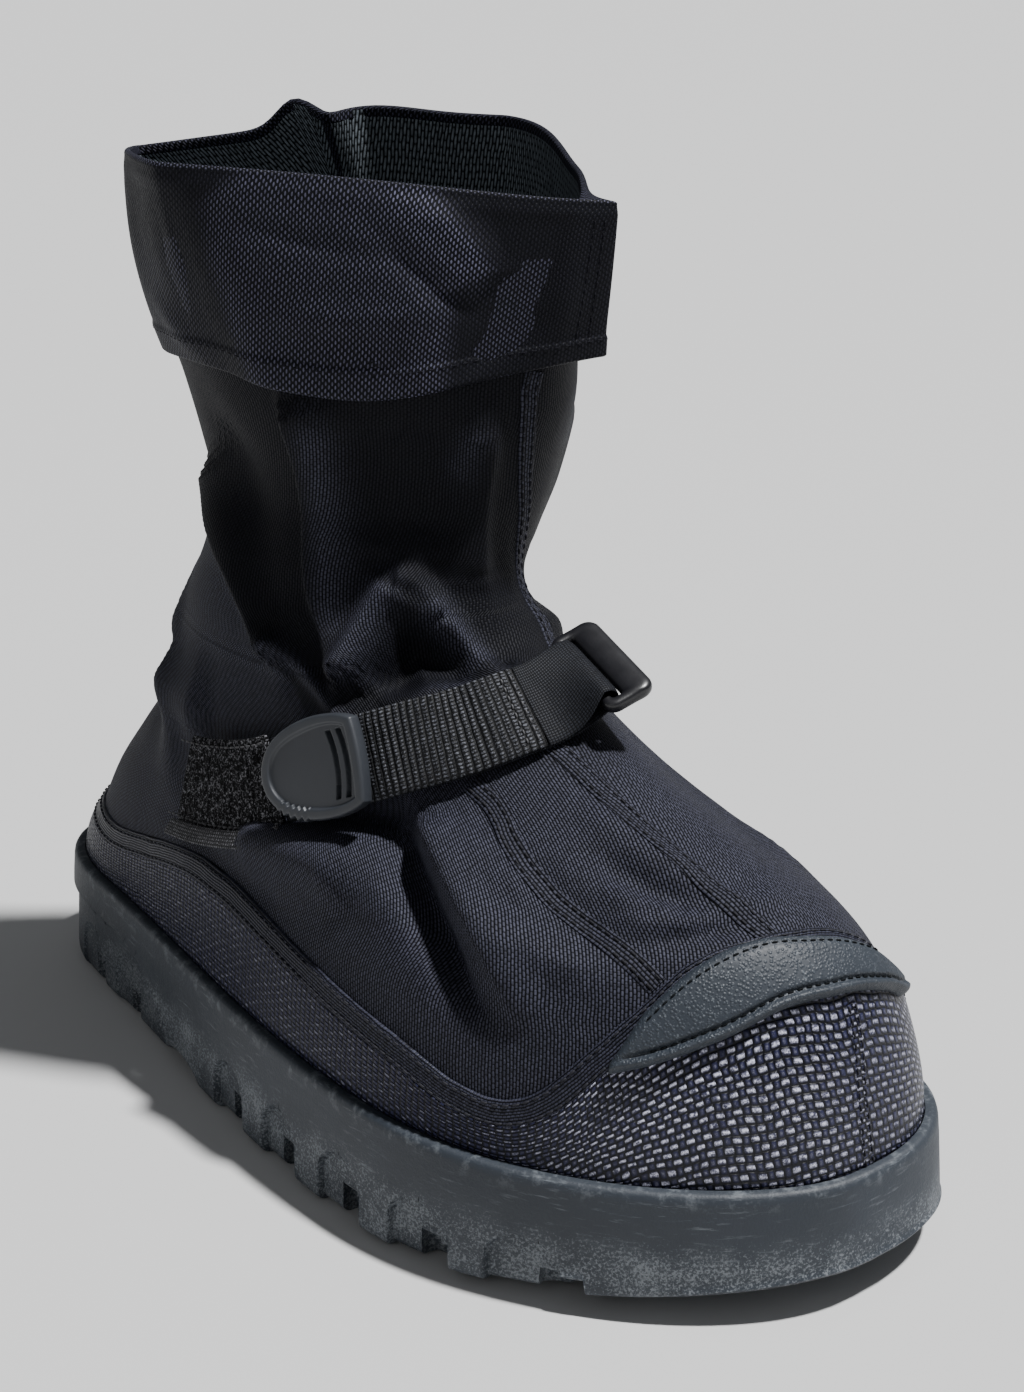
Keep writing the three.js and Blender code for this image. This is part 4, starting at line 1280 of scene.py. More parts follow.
@dataclass
class Upper:
    """Nylon shaft and vamp, one creased wall with its lining, and the seams sewn over it."""

    dense: tuple[float, float] = (225.0, 392.0)
    fine: int = 280
    coarse: int = 110
    levels: int = 188
    stitch: Stitch = Stitch(3.0, 2.3, 0.6)
    # The shaft cloth is painted darker as shade away from its painted light.
    cloth: WovenNylon = WovenNylon(
        "shaft_nylon", (0.0005, 0.0006, 0.0018), (0.053, 0.055, 0.080), 1.0, 1.5, 0.22, 0.55, painted_shade=0.88
    )
    # The lining's light colour is partly its own grey tone and partly painted light, raised well above it for
    # the sun on the inside of the far wall.
    lining: WovenNylon = WovenNylon(
        "shaft_lining", (0.003, 0.004, 0.005), (0.21, 0.24, 0.27), 1.1, 4.0, 0.25, 0.5
    )
    thread: Moulded = Moulded("seam_thread", (0.014, 0.014, 0.018), 0.7, shine=0.15)
    heel_edge: tuple = (
        (0.515, 0.555, 0.595, 0.625, 0.65, 0.68, 0.72, 0.75), (284, 279, 270, 260, 250, 243, 237, 190),
    )
    # Folds used only as painted light: each one marks a lit facet of the shaft, painted lighter.
    painted_lit_facets: tuple[Fold, ...] = (
        Fold(
            "beside the front crease",
            ((294, 0.80), (296, 0.72), (300, 0.66), (303, 0.60), (303, 0.55)),
            0.9, 7, 4, 0.1,
        ),
        Fold("gather left", ((299, 0.510), (307, 0.545), (313, 0.580), (320, 0.625)), 1.0, 5, 6, 0.1),
        Fold("gather right", ((333, 0.605), (339, 0.570), (345, 0.535)), 0.9, 4, 5, 0.1),
        Fold("above the strap", ((313, 0.490), (325, 0.512), (338, 0.510), (352, 0.520)), 0.8, 4, 5, 0.1),
        Fold("by the tab", ((281, 0.540), (287, 0.525), (291, 0.49), (293, 0.46)), 0.9, 3, 4, 0.1),
        Fold("under the cuff", ((338, 0.80), (336, 0.76), (334, 0.73)), 0.5, 4, 4, 0.2),
    )
    seams: tuple[Seam, ...] = (
        Seam(
            "seam_side",
            ((315.5, 0.445), (317, 0.430), (316, 0.398), (318, 0.360), (322.5, 0.330), (326, 0.307),
             (329, 0.285)),
            6.0, 0.4, (-1.6, 1.6),
        ),
        Seam(
            "seam_front",
            ((346, 0.485), (348.5, 0.465), (352.5, 0.383), (355, 0.325), (357, 0.300)),
            6.5, 0.4, (-1.8, 1.8),
        ),
        Seam(
            "seam_shaft",
            ((354, 0.850), (354, 0.825), (363.5, 0.728), (378.5, 0.628), (386, 0.560), (388, 0.520)),
            5.5, 0.5, (-1.5, 1.5),
        ),
        Seam(
            "seam_back",
            ((180, 0.85), (181, 0.70), (180, 0.55), (180, 0.40), (180, 0.25), (180, 0.16)),
            7.0, 0.6, (-2.0, 2.0),
        ),
    )

    def painted_lit(self, degrees: np.ndarray, level: np.ndarray) -> np.ndarray:
        """Painted light, 0 to 1: the vamp, the heel side and each lit facet of the shaft are painted lit; the
        rest of the shaft is painted as shade.

        Args:
            degrees: angles of the columns.
            level: levels of the rows.

        Returns:
            One value for each row and column.
        """
        plain = LAST.point(degrees[None], level[:, None])
        normal = LAST.normal(degrees[None], level[:, None])
        # Painted light: the heel side behind the shaft's back edge is painted lit, most near that edge, and
        # the vamp below level 0.44 fully.
        behind = turned(degrees[None] - np.interp(level, *self.heel_edge)[:, None], 0.0)
        paler = 0.35 + 0.65 * smooth((behind + 110.0) / 70.0)
        heel = smooth(-behind / 3.0) * paler * smooth((behind + 178.0) / 25.0)
        foot = 1 - smooth((level - 0.44) / 0.07)
        flat = np.maximum(foot[:, None], heel)
        for facet in self.painted_lit_facets:
            flat = np.maximum(flat, facet.relief(plain, normal))
        return np.clip(flat, 0, 1)

    def build(self) -> None:
        """Makes the wall with its lining, then the seams and their stitches."""
        degrees = spaced(self.dense, self.fine, self.coarse)
        level = np.r_[np.linspace(0, 0.12, 8, endpoint=False), np.linspace(0.12, 1.0, self.levels)]
        outside = folded(degrees[None], level[:, None])
        inner_degrees = degrees[::2]
        inner_level = np.r_[np.linspace(0, 0.8, 70, endpoint=False), np.linspace(0.8, 1.0, 30)]
        depth = LAST.wall + 1.6 * smooth((0.84 - inner_level) / 0.06) * smooth(inner_level / 0.15)
        inside = folded(inner_degrees[None], inner_level[:, None], -depth[:, None])
        rim_out = outside[-1][None]
        rim_in = folded(degrees, np.ones(len(degrees)), -LAST.wall)[None]
        floor_in = folded(degrees, np.zeros(len(degrees)), -LAST.wall)[None]
        patches = [
            Patch(outside, arc_uv(outside), wrap=True),
            Patch(inside[:, ::-1], arc_uv(inside)[:, ::-1], wrap=True, slot=1),
            Patch(np.concatenate([rim_out, rim_in]), wrap=True, slot=1),
            Patch(np.concatenate([floor_in, outside[:1]]), wrap=True, slot=1),
        ]
        nylon = self.cloth.material()
        # Painted light of each point: the wall gets its painted lit share; the lining patches get 1 and keep
        # their colour.
        flat = np.concatenate([np.ones(p.points.shape[:2]).ravel() for p in patches])
        flat[: outside.shape[0] * outside.shape[1]] = self.painted_lit(degrees, level).ravel()
        mesh_piece(
            "shaft_and_vamp", patches, [nylon, self.lining.material()],
            ("upper", "shaft"), flat=flat,
        )
        strips, beads = [], []
        for seam in self.seams:
            route = even_route(seam.knots, 1.0)
            strips.append(ribbon(route, seam.width, seam.height, (0.0, 0.0)))
            for offset in seam.rows:
                beads += self.stitch.along(*sewn(route, offset, seam.height))
        # The seam strips are painted slightly darker as shade.
        flat = np.full(sum(p.points.shape[0] * p.points.shape[1] for p in strips), 0.8)
        mesh_piece("upper_seams", strips, [nylon], flat=flat)
        mesh_piece("upper_stitches", beads, [self.thread.material()], weld=True)


@dataclass
class Rand:
    """Coated woven overlay round the foot, with a folded and twice sewn hem along its top."""

    edge: tuple = (
        (-90, 0.205), (-74, 0.175), (-66, 0.160), (-58, 0.137), (-51, 0.133), (-45, 0.158), (-39, 0.205),
        (-33, 0.245), (-24, 0.290), (-10, 0.308), (4, 0.303), (14, 0.275), (20, 0.235), (28, 0.190),
        (45, 0.140), (60, 0.135), (80, 0.185), (100, 0.215), (120, 0.190), (150, 0.155), (180, 0.150),
        (210, 0.152), (225, 0.157), (249, 0.212), (260, 0.217), (270, 0.205),
    )
    hem_width: float = 7.5
    hem_height: float = 0.55
    hem_rise: float = 3.0
    hem_drop: float = 0.004
    toe_seam: tuple = ((1, 0.075), (0.5, 0.11), (1, 0.17), (2.5, 0.25))
    stitch_rows: tuple = (2.4, -2.2)
    hem_stitch: Stitch = Stitch(3.1, 2.4, 0.65)
    toe_stitch: Stitch = Stitch(3.1, 2.4, 0.6)
    cloth: CoatedRand = CoatedRand()
    hem: WovenNylon = WovenNylon(
        "rand_hem", (0.0006, 0.0007, 0.0020), (0.044, 0.046, 0.068), 0.8, 1.2, 0.15, 0.3
    )
    thread: Moulded = Moulded("rand_thread", (0.016, 0.016, 0.021), 0.65, shine=0.2)

    def top(self, degrees: np.ndarray) -> np.ndarray:
        """Level of the top edge at angles."""
        rows = np.array(self.edge)
        return through_rows(rows, rows[0, 0] + (np.asarray(degrees, float) - rows[0, 0]) % 360.0)[..., 0]

    def build(self) -> None:
        """Makes the overlay as one closed shell, its hem, the toe seam and their stitches."""
        degrees = spaced((195.0, 400.0), 330, 90)
        share = np.r_[np.linspace(0, 0.45, 8, endpoint=False), np.linspace(0.45, 0.97, 34), 0.985, 0.995, 1.0]
        level = share[:, None] * self.top(degrees)[None]
        out = LAST.rand_gap + LAST.rand_thickness
        roll = np.where(share > 0.98, out - 0.25 - 0.9 * (share - 0.98) / 0.02, out)
        outside = folded(degrees[None], level, roll[:, None])
        inside = folded(degrees[None], level[::-1], LAST.rand_gap * 0.6)
        rand = self.cloth.material()
        mesh_piece("rand_cloth", [shell(outside, inside, wrap=True)], [rand], ("rand",))
        turn = np.linspace(-90, 270, 721)
        route = np.column_stack([turn, self.top(turn) - self.hem_drop])
        run = run_of(LAST.point(route[:, 0], route[:, 1]))
        route = picked(np.linspace(0, run[-1], 760), run, route)
        route = np.column_stack([place[:, 0] for place in beside(route, np.array([self.hem_rise]))])
        base = (0.4, out - 0.5)
        hem = ribbon(route, self.hem_width, self.hem_height, base)
        seam = even_route(self.toe_seam, 1.0)
        toe = ribbon(seam, 3.4, 0.25, (out - 0.1, out - 0.1), slot=1)
        mesh_piece("rand_hem", [hem, toe], [self.hem.material(), rand])
        beads = []
        for offset in self.stitch_rows:
            lift = np.interp(-2 * offset / self.hem_width, (-1, 1), base) + self.hem_height
            beads += self.hem_stitch.along(*sewn(route, offset, lift))
        for offset in (-1.2, 1.2):
            beads += self.toe_stitch.along(*sewn(seam, offset, out + 0.15))
        mesh_piece("rand_stitches", beads, [self.thread.material()], weld=True)


@dataclass
class ToeBumper:
    """Crescent of rubber over the toe: domed, with a rolled lower lip above a sewn groove."""

    edge: tuple = (
        (-38, 0.203, 0.214), (-33, 0.214, 0.262), (-24, 0.236, 0.302), (-11, 0.262, 0.320), (2, 0.260, 0.312),
        (12, 0.241, 0.288), (17, 0.224, 0.258), (20, 0.219, 0.232),
    )
    thickness: float = 3.0
    lip: tuple = (0.9, 1.5, 1.1)
    groove: tuple = (-1.1, 3.6, 0.7)
    ditch: tuple = (-0.4, 2.2, 0.7)
    stitch: Stitch = Stitch(2.7, 2.0, 0.5)
    rubber: DottedRubber = DottedRubber()
    thread: Moulded = Moulded("bumper_thread", (0.004, 0.005, 0.006), 0.7, shine=0.1)

    def build(self) -> None:
        """Makes the crescent as a closed shell, and its two lines of stitches."""
        rows = np.array(self.edge, float)
        turn = np.linspace(-38.0, 20.0, 190)
        low, high = through_rows(rows, turn).T
        t = np.r_[0.0, 0.004, np.linspace(0.02, 0.98, 46), 0.996, 1.0]
        under = LAST.rand_gap + LAST.rand_thickness + LAST.clearance
        level = low[None] + (high - low)[None] * t[:, None]
        tall = np.linalg.norm(np.diff(LAST.point(turn[None], np.stack([low, high])), axis=0), axis=-1)[0]
        d_low = t[:, None] * tall[None]
        d_high = (1 - t)[:, None] * tall[None]
        body = self.thickness * np.minimum(1, np.sqrt(np.clip(np.minimum(d_low, d_high) / 2.2, 0, 1)))
        moulded = ((self.lip, d_low), (self.groove, d_low), (self.ditch, d_high))
        beading = sum(height * bell((away - middle) / wide) for (height, middle, wide), away in moulded)
        calm = smooth(tall / 14.0)[None]
        lift = under + body + beading * calm
        lift[[0, -1]] = under
        outside = folded(turn[None], level, lift)
        inside = folded(turn[None], level[::-1], under - 0.2)
        back = inside[::-1]
        pairs = ((outside[:, -1], back[:, -1]), (back[:, 0], outside[:, 0]))
        ends = [Patch(np.stack(pair, 1)) for pair in pairs]
        patches = [shell(outside, inside), *ends]
        mesh_piece("toe_cap", patches, [self.rubber.material()], ("toe_bumper",), weld=True)
        beads = []
        for edge, depth in ((low, 3.6), (high, -2.2)):
            away = depth / np.maximum(tall, 1) * (high - low)
            keep = (tall > 13) & (np.abs(turn + 9) < 26)
            place = folded(
                turn[keep], (edge + away)[keep], under + self.thickness - (0.9 if depth > 0 else 0.3)
            )
            beads += self.stitch.along(place, LAST.normal(turn[keep], (edge + away)[keep]))
        mesh_piece(
            "toe_cap_stitches", beads, [self.thread.material()], weld=True
        )


@dataclass
class Cuff:
    """Top of the shaft, turned over the collar and down outside it, pinched at the front."""

    level: float = 0.835
    thickness: float = 1.2
    ease: float = 0.25
    flare: float = 3.3
    fin_top: float = 10.0
    fin_bottom: float = 15.0
    fin_back: float = 2.5
    fin_rise: float = 8.0
    lean: float = 1.4
    drop: float = 4.5
    hem: float = 7.0
    dents: tuple = (
        (322, 0.20, 9.0, 0.10, 0.35, 1.5), (318, 0.42, 9.0, 0.08, 0.35, -1.6), (
            337, 0.30, 5.0, 0.35, 0.10, -2.6
        ),
        (346, 0.62, 4.0, 0.30, -0.15, 1.6), (334, 0.80, 7.0, 0.10, -0.25, -1.4), (
            298, 0.30, 12.0, 0.05, 0.06, -0.7
        ),
        (305, 0.62, 12.0, 0.06, -0.05, 0.8), (291, 0.78, 6.0, 0.16, 0.10, -0.9), (
            270, 0.45, 5.0, 0.40, 0.05, -1.2
        ),
        (262, 0.82, 8.0, 0.10, 0.20, 1.2), (312, 0.85, 6.0, 0.14, 0.25, -0.9), (
            246, 0.40, 6.0, 0.35, 0.00, 1.2
        ),
    )
    waves: tuple = (
        (332.0, 5.0, -1.3, 0.6), (318.0, 6.0, 1.2, 0.4), (300.0, 7.0, -1.0, 0.9), (281.0, 7.0, 1.3, 0.7),
        (262.0, 8.0, -1.1, 0.5), (243.0, 7.0, 0.9, 0.8), (70.0, 10.0, 1.2, 0.5), (110.0, 9.0, -1.2, 0.6),
    )
    tall: float = 46.0
    hem_stitch: Stitch = Stitch(3.2, 2.2, 0.45, 0.45)
    front_stitch: Stitch = Stitch(3.0, 2.2, 0.45)
    front_rows: tuple = (350.0, 353.5)
    # The cuff cloth is painted darker as shade away from its painted light; its light thread colour is raised
    # for the painted lit facet.
    cloth: WovenNylon = WovenNylon(
        "cuff_nylon", (0.0004, 0.0006, 0.0026), (0.130, 0.130, 0.200), 0.95, 1.75, 0.14, 0.5, Weave.OXFORD,
        shine=0.16, painted_shade=0.94,
    )
    thread: Moulded = Moulded("cuff_thread", (0.006, 0.006, 0.009), 0.7, shine=0.1)

    def over(self, degrees: np.ndarray, level: np.ndarray, distance: np.ndarray) -> np.ndarray:
        """Points off the shaft: eased out and flared downwards, with a fin pinched out at the front.

        Args:
            degrees: angles.
            level: levels.
            distance: millimetres off the eased surface.

        Returns:
            The points.
        """
        degrees, level, distance = arrays(degrees, level, distance)
        down = (1 - level) / (1 - self.level)
        front = np.radians(turned(degrees, 0.0))
        back = np.radians(turned(degrees, 180.0))
        panel = self.panel(degrees, down, 16.0)
        flare = self.flare * (0.4 + 0.6 * panel) * np.sin(np.pi / 2 * np.minimum(1, 1.4 * down))
        flare = flare + self.lean * panel * down
        ease = self.ease + flare + self.fin_back * bell(back / 0.3) * down
        pinch = bell(front / np.where(front < 0, 0.42, 0.24))
        fin = (self.fin_top + (self.fin_bottom - self.fin_top) * down) * pinch
        direction = np.array([0.9, -0.43, 0.0])
        points = LAST.point(degrees, level) + LAST.normal(degrees, level) * (ease + distance)[..., None]
        points = points + fin[..., None] * direction
        points[..., 2] += self.fin_rise * down * bell(front / 0.5)
        points[..., 2] -= self.drop * down * bell(turned(degrees, 306.0) / 22.0)
        return points

    def panel(self, degrees: np.ndarray, down: np.ndarray, soft: float) -> np.ndarray:
        """Flat facet of the outer side, between two slanted creases: 1 inside, 0 outside, soft by degrees."""
        left = np.interp(down, (0, 0.15, 0.42, 0.94), (285, 279, 279, 283))
        right = np.interp(down, (0, 0.39, 0.48, 1.0), (316, 330, 323, 325))
        there = turned(degrees, 300.0) + 300.0
        return smooth((there - left) / soft + 0.5) * (1 - smooth((there - right) / soft + 0.5))

    def painted_lit(self, degrees: np.ndarray, down: np.ndarray) -> np.ndarray:
        """Painted light, 0 to 1: the lit facet, most of all its slanted ridge as a painted highlight, and some
        at the back; the rest is painted as shade.
        """
        there = turned(degrees, 300.0) + 300.0
        # Painted highlight along the slanted ridge of the facet.
        ridge = bell((down - 0.05 - (there - 313.0) * 0.024) / 0.12)
        ridge = ridge * smooth((there - 306.0) / 6.0) * (1 - smooth((there - 324.0) / 8.0))
        back = 0.25 * bell(turned(degrees, 258.0) / 14.0) * smooth((down - 0.3) / 0.3)
        return np.clip(0.62 * self.panel(degrees, down, 5.0) + 0.7 * ridge + back, 0, 1)

    def drape(self, degrees: np.ndarray, down: np.ndarray) -> np.ndarray:
        """Soft folds of the cloth, each stronger towards the bottom or the top, and short slanted dents."""
        out = np.zeros(np.broadcast(degrees, down).shape)
        for centre, width, height, lean in self.waves:
            strength = lean * down + (1 - lean) * (1 - down)
            out = out + height * strength * bell(turned(degrees, centre + 8.0 * (down - 0.5)) / width)
        for centre, middle, width, tall, slant, height in self.dents:
            aside = turned(degrees, centre)
            out = out + height * bell(aside / width) * bell((down - middle - slant * aside / 20.0) / tall)
        return np.maximum(out, -0.3 - 2.2 * down)

    def build(self) -> None:
        """Makes the turned cloth as one closed shell, with a hem and its stitches."""
        degrees = spaced((225.0, 392.0), 300, 140)
        down = np.linspace(1.0, 0.0, 110)
        level = 1 - down * (1 - self.level)
        hem = 0.5 * smooth((down - (1 - self.hem / self.tall)) / 0.012)
        roll = -0.9 * smooth((down - 0.985) / 0.015)
        lift = self.thickness * (0.5 + 0.5 * smooth(down / 0.08)) + hem + roll
        drape = self.drape(degrees[None], down[:, None]) * smooth(down / 0.15)[:, None]
        outside = self.over(degrees[None], level[:, None], lift[:, None] + drape)
        top_out = self.over(degrees, 1.0, self.thickness * 0.45)
        top_in = LAST.point(degrees, 1.0) - LAST.normal(degrees, 1.0) * (LAST.wall + 0.3)
        crown = []
        for angle in np.linspace(0.15, np.pi, 9):
            mix = (1 - math.cos(angle)) / 2
            ring = top_out + (top_in - top_out) * mix
            ring[:, 2] += 0.9 * math.sin(angle)
            crown.append(ring)
        lip = []
        for depth in (0.002, 0.004, 0.006, 0.007):
            swell = 0.3 if depth < 0.0065 else 0.1
            lip.append(LAST.point(degrees, 1 - depth) - LAST.normal(degrees, 1 - depth) * (LAST.wall + swell))
        under = [LAST.point(degrees, 1 - 0.007) - LAST.normal(degrees, 1 - 0.007) * (LAST.wall - 0.2)]
        under.append(self.over(degrees, 1.0, 0.1))
        under += [self.over(degrees, value, 0.2) for value in (0.96, 0.92, 0.88, 0.85)]
        under.append(self.over(degrees, self.level, 0.2))
        grid = np.concatenate([outside, np.stack(crown), np.stack(lip), np.stack(under)])
        uv = arc_uv(grid)
        # The rolled top and the inner lip are painted darker as shade; the outside gets its painted light.
        flat = np.full(grid.shape[:2], 0.45)
        flat[: len(down)] = self.painted_lit(degrees[None], down[:, None])
        patch = Patch(grid, uv, wrap=True, loop=True)
        mesh_piece("turned_cuff", [patch], [self.cloth.material()], ("cuff",), flat=flat)
        turn = np.linspace(0, 360, 700)
        above = (self.hem - 1.2) / self.tall
        row = np.full(len(turn), 1 - (1 - above) * (1 - self.level))
        lifted = self.thickness + 0.45 + self.drape(turn, np.full(len(turn), 1 - above))
        beads = self.hem_stitch.along(self.over(turn, row, lifted), LAST.normal(turn, row))
        row = np.linspace(self.level + 0.012, 0.985, 60)
        for angle in self.front_rows:
            at = np.full(60, angle)
            line = self.over(at, row, self.thickness + self.drape(at, (1 - row) / (1 - self.level)))
            beads += self.front_stitch.along(line, LAST.normal(at, row))
        mesh_piece("cuff_stitches", beads, [self.thread.material()], weld=True)


# Outsole


@dataclass
class Outsole:
    """Rubber cup sole: lugs and chevron channels below, arched recesses round the side, and the cup."""

    toe_spring: float = 10.5
    flat_share: float = 0.66
    flare: float = 2.2
    lug_depth: float = 9.0
    notch_width: float = 9.0
    fore_pitch: float = 30.9
    fore_start: float = -118.7
    fore_count: int = 5
    heel_pitch: float = 29.2
    heel_start: float = 85.3
    heel_count: int = 2
    chevron_drop: float = 12.0
    window_width: float = 18.5
    window_height: float = 20.0
    window_depth: float = 2.2
    arch_depth: float = 5.0
    recess_depth: float = 1.4
    recess_length: float = 104.0
    recess_height: float = 27.0
    recess_curve: tuple = ((0, 0.02, 0.09, 0.21, 0.4, 1), (0, 0.3, 0.62, 0.86, 1, 1))
    soften: float = 0.3
    profile: tuple = (
        (0.000, 1.3), (0.012, 0.1), (0.030, -0.9), (0.055, -1.75), (0.085, -2.15), (0.13, -2.2), (
            0.50, -1.32
        ),
        (0.80, -0.55), (0.86, -0.33), (0.93, -0.1), (0.965, 0.15), (0.985, 0.55), (0.996, 1.15), (1.0, 1.7),
    )
    rubber: DustyRubber = DustyRubber()

    @property
    def notches(self) -> np.ndarray:
        """Toe-side edges of the channels where they reach the side."""
        fore = self.fore_start + self.fore_pitch * np.arange(self.fore_count)
        heel = self.heel_start + self.heel_pitch * np.arange(self.heel_count)
        return np.r_[fore, heel]

    @property
    def arch(self) -> tuple[float, float]:
        """Front and back of the raised waist."""
        front = self.fore_start + self.fore_count * self.fore_pitch
        return front, self.heel_start + self.notch_width - self.heel_pitch

    def chevron(self, x: np.ndarray, y: np.ndarray) -> np.ndarray:
        """Lengthwise place in the channels' own slant: y moved back by the drop, less towards the sides."""
        calm = smooth((LAST.sole_length / 2 - np.abs(y)) / 30.0)
        return y + self.chevron_drop * calm * (1 - np.abs(x) / (LAST.ball_width / 2))

    def in_notch(self, slanted: np.ndarray) -> np.ndarray:
        """How far a place is inside a channel, 0 to 1, over the softened edge."""
        deep = np.zeros_like(slanted)
        for start in self.notches:
            inside = np.minimum(slanted - start, start + self.notch_width - slanted)
            deep = np.maximum(deep, smooth(inside / self.soften + 0.5))
        return deep

    def underside(self, y: np.ndarray, slanted: np.ndarray) -> np.ndarray:
        """Height of the tread: the sprung toe, the raised waist, and the channels."""
        share = np.clip(0.5 - y / LAST.sole_length, 0, 1)
        base = self.toe_spring * (np.maximum(0, share - self.flat_share) / (1 - self.flat_share)) ** 1.8
        front, back = self.arch
        t = np.clip((y - front) / (back - front), 0, 1)
        base = np.maximum(base, self.arch_depth * np.sin(np.pi * t) ** 0.7)
        return base + (np.maximum(self.lug_depth, base) - base) * self.in_notch(slanted)

    def relief(self, y: np.ndarray, z: np.ndarray) -> np.ndarray:
        """Depth cut into the side at places: arched recesses, and the heel's sunk face with its ridge."""
        cut = np.zeros_like(y)
        shoulder = self.window_height * 0.6
        for start in self.notches:
            t = np.clip((y - start) / self.window_width, 0, 1)
            top = shoulder + (self.window_height - shoulder) * np.sin(np.pi * t) ** 0.6
            inside = np.minimum(np.minimum(y - start, start + self.window_width - y), top - z)
            cut = np.maximum(cut, self.window_depth * smooth(inside / 0.9 + 0.3))
        front = LAST.sole_length / 2 - self.recess_length
        share = np.clip((y - front) / self.recess_length, 0, 1)
        edge = self.recess_height * np.interp(share, *self.recess_curve)
        inside = np.where(y > front, edge - z, -9.0)
        cut = np.maximum(cut, self.recess_depth * smooth(inside / 1.2 + 0.3))
        ridge = np.where(y > front - 4, bell((edge - z + 1.3) / 1.1), 0.0) * (share < 0.5)
        return cut - 0.7 * ridge

    def columns(self) -> tuple[np.ndarray, np.ndarray]:
        """Angles of matching columns on the inner and the outer side.

        Both columns of a pair lie on one slanted line of the tread, and pairs stand close together at
        every edge of a channel or recess.

        Returns:
            Angles of the inner side from toe to heel, and of the outer side.
        """
        turn = np.linspace(0, 180, 6001)
        sides = []
        for degrees in (turn, 360 - turn):
            ring = LAST.sole_ring(degrees, np.full(len(turn), -self.flare), np.zeros(len(turn)))
            slanted = np.maximum.accumulate(self.chevron(ring[:, 0], ring[:, 1]) + turn * 1e-9)
            sides.append((degrees, ring[:, 1], slanted))
        base = np.linspace(0, 180, 400)
        wanted = [np.interp(base, turn, (sides[0][2] + sides[1][2]) / 2)]
        half = self.soften / 2
        for start in self.notches:
            for edge in (start, start + self.notch_width):
                wanted.append(edge + np.array([-2 * half, -half, 0.0, half, 2 * half]))
            for edge in (start, start + self.window_width):
                for _, y, slanted in sides:
                    wanted.append(np.interp(edge + np.array([-0.5, 0.0, 0.5]), y, slanted))
        values = np.unique(np.round(np.concatenate(wanted), 3))
        low, high = max(sides[0][2][0], sides[1][2][0]), min(sides[0][2][-1], sides[1][2][-1])
        values = values[(values > low + 0.2) & (values < high - 0.2)]
        values = values[np.r_[True, np.diff(values) > 0.06]]
        found = []
        for degrees, _, slanted in sides:
            middle = np.interp(values, slanted, degrees)
            found.append(np.r_[degrees[0], middle, degrees[-1]])
        return found[0], found[1]

    def build(self) -> None:
        """Makes the wall with its rim and cup, and the tread from side to side."""
        inner, outer = self.columns()
        degrees = np.concatenate([inner, outer[::-1][1:-1]])
        share_up = np.unique(np.r_[[p[0] for p in self.profile], np.linspace(0.15, 0.93, 44)])
        inset = np.interp(share_up, *np.array(self.profile).T)
        plan = LAST.sole_ring(degrees, np.full(len(degrees), -self.flare), np.zeros(len(degrees)))
        slanted = self.chevron(plan[:, 0], plan[:, 1])
        foot = self.underside(plan[:, 1], slanted)
        s = (1 + np.cos(np.radians(degrees))) / 2
        rim = LAST.rim_at(s)
        z = foot[None] + (rim - foot)[None] * share_up[:, None]
        level_share = np.clip(z / rim[None], 0, 1)
        inset = np.where(
            share_up[:, None] < 0.12, inset[:, None], np.interp(level_share, *np.array(self.profile).T)
        )
        y = np.broadcast_to(plan[None, :, 1], z.shape)
        wall = LAST.sole_ring(np.broadcast_to(degrees, z.shape), inset + self.relief(y, z), z)
        cup = []
        low = LAST.cup_floor
        for mix, pull in ((0.0, 3.1), (0.04, 3.45), (0.15, 3.7), (1.0, LAST.rim_ledge + LAST.cup_slope)):
            cup.append(LAST.sole_ring(degrees, np.full(len(degrees), pull), rim + (low - rim) * mix))
        grid = np.concatenate([wall, np.stack(cup)])
        across = np.linspace(0, 1, 41)
        mix = 0.5 - 0.5 * np.cos(np.pi * across)
        far = np.r_[0, np.arange(len(degrees) - 1, len(inner) - 1, -1), len(inner) - 1]
        left = wall[0][far]
        right = wall[0][: len(inner)]
        x = left[None, :, 0] + (right - left)[None, :, 0] * mix[:, None]
        line_left = self.chevron(left[:, 0], left[:, 1])
        line_right = self.chevron(right[:, 0], right[:, 1])
        line = line_left[None] + (line_right - line_left)[None] * mix[:, None]
        flat_y = left[None, :, 1] + (right - left)[None, :, 1] * mix[:, None]
        y = flat_y.copy()
        for _ in range(3):
            y = line - (self.chevron(x, y) - y)
        pin = smooth(np.minimum(mix, 1 - mix) / 0.02)[:, None]
        y = flat_y + (y - flat_y) * pin
        ends = np.where(mix[:, None] < 0.5, left[None, :, 2], right[None, :, 2])
        tread_z = ends * (1 - pin) + self.underside(y, line) * pin
        tread = np.stack([x, y, tread_z], -1)
        tread[0], tread[-1] = left, right
        cup_left = cup[-1][far]
        cup_right = cup[-1][: len(inner)]
        floor = np.stack([cup_right + (cup_left - cup_right) * t for t in np.linspace(0, 1, 5)])
        patches = [Patch(grid, wrap=True), Patch(tread), Patch(floor)]
        piece = mesh_piece(
            "cup_sole", patches, [self.rubber.material()], ("outsole",), weld=True
        )
        close_up(piece)


def close_up(piece: bpy.types.Object) -> None:
    """Drops faces without area and turns every face outwards."""
    worked(piece.data, lambda work: bmesh.ops.dissolve_degenerate(work, edges=work.edges, dist=1e-6))
    worked(piece.data, lambda work: bmesh.ops.recalc_face_normals(work, faces=work.faces))
    piece.data.shade_smooth()
    piece.data.set_sharp_from_angle(angle=math.radians(42))


# Strap


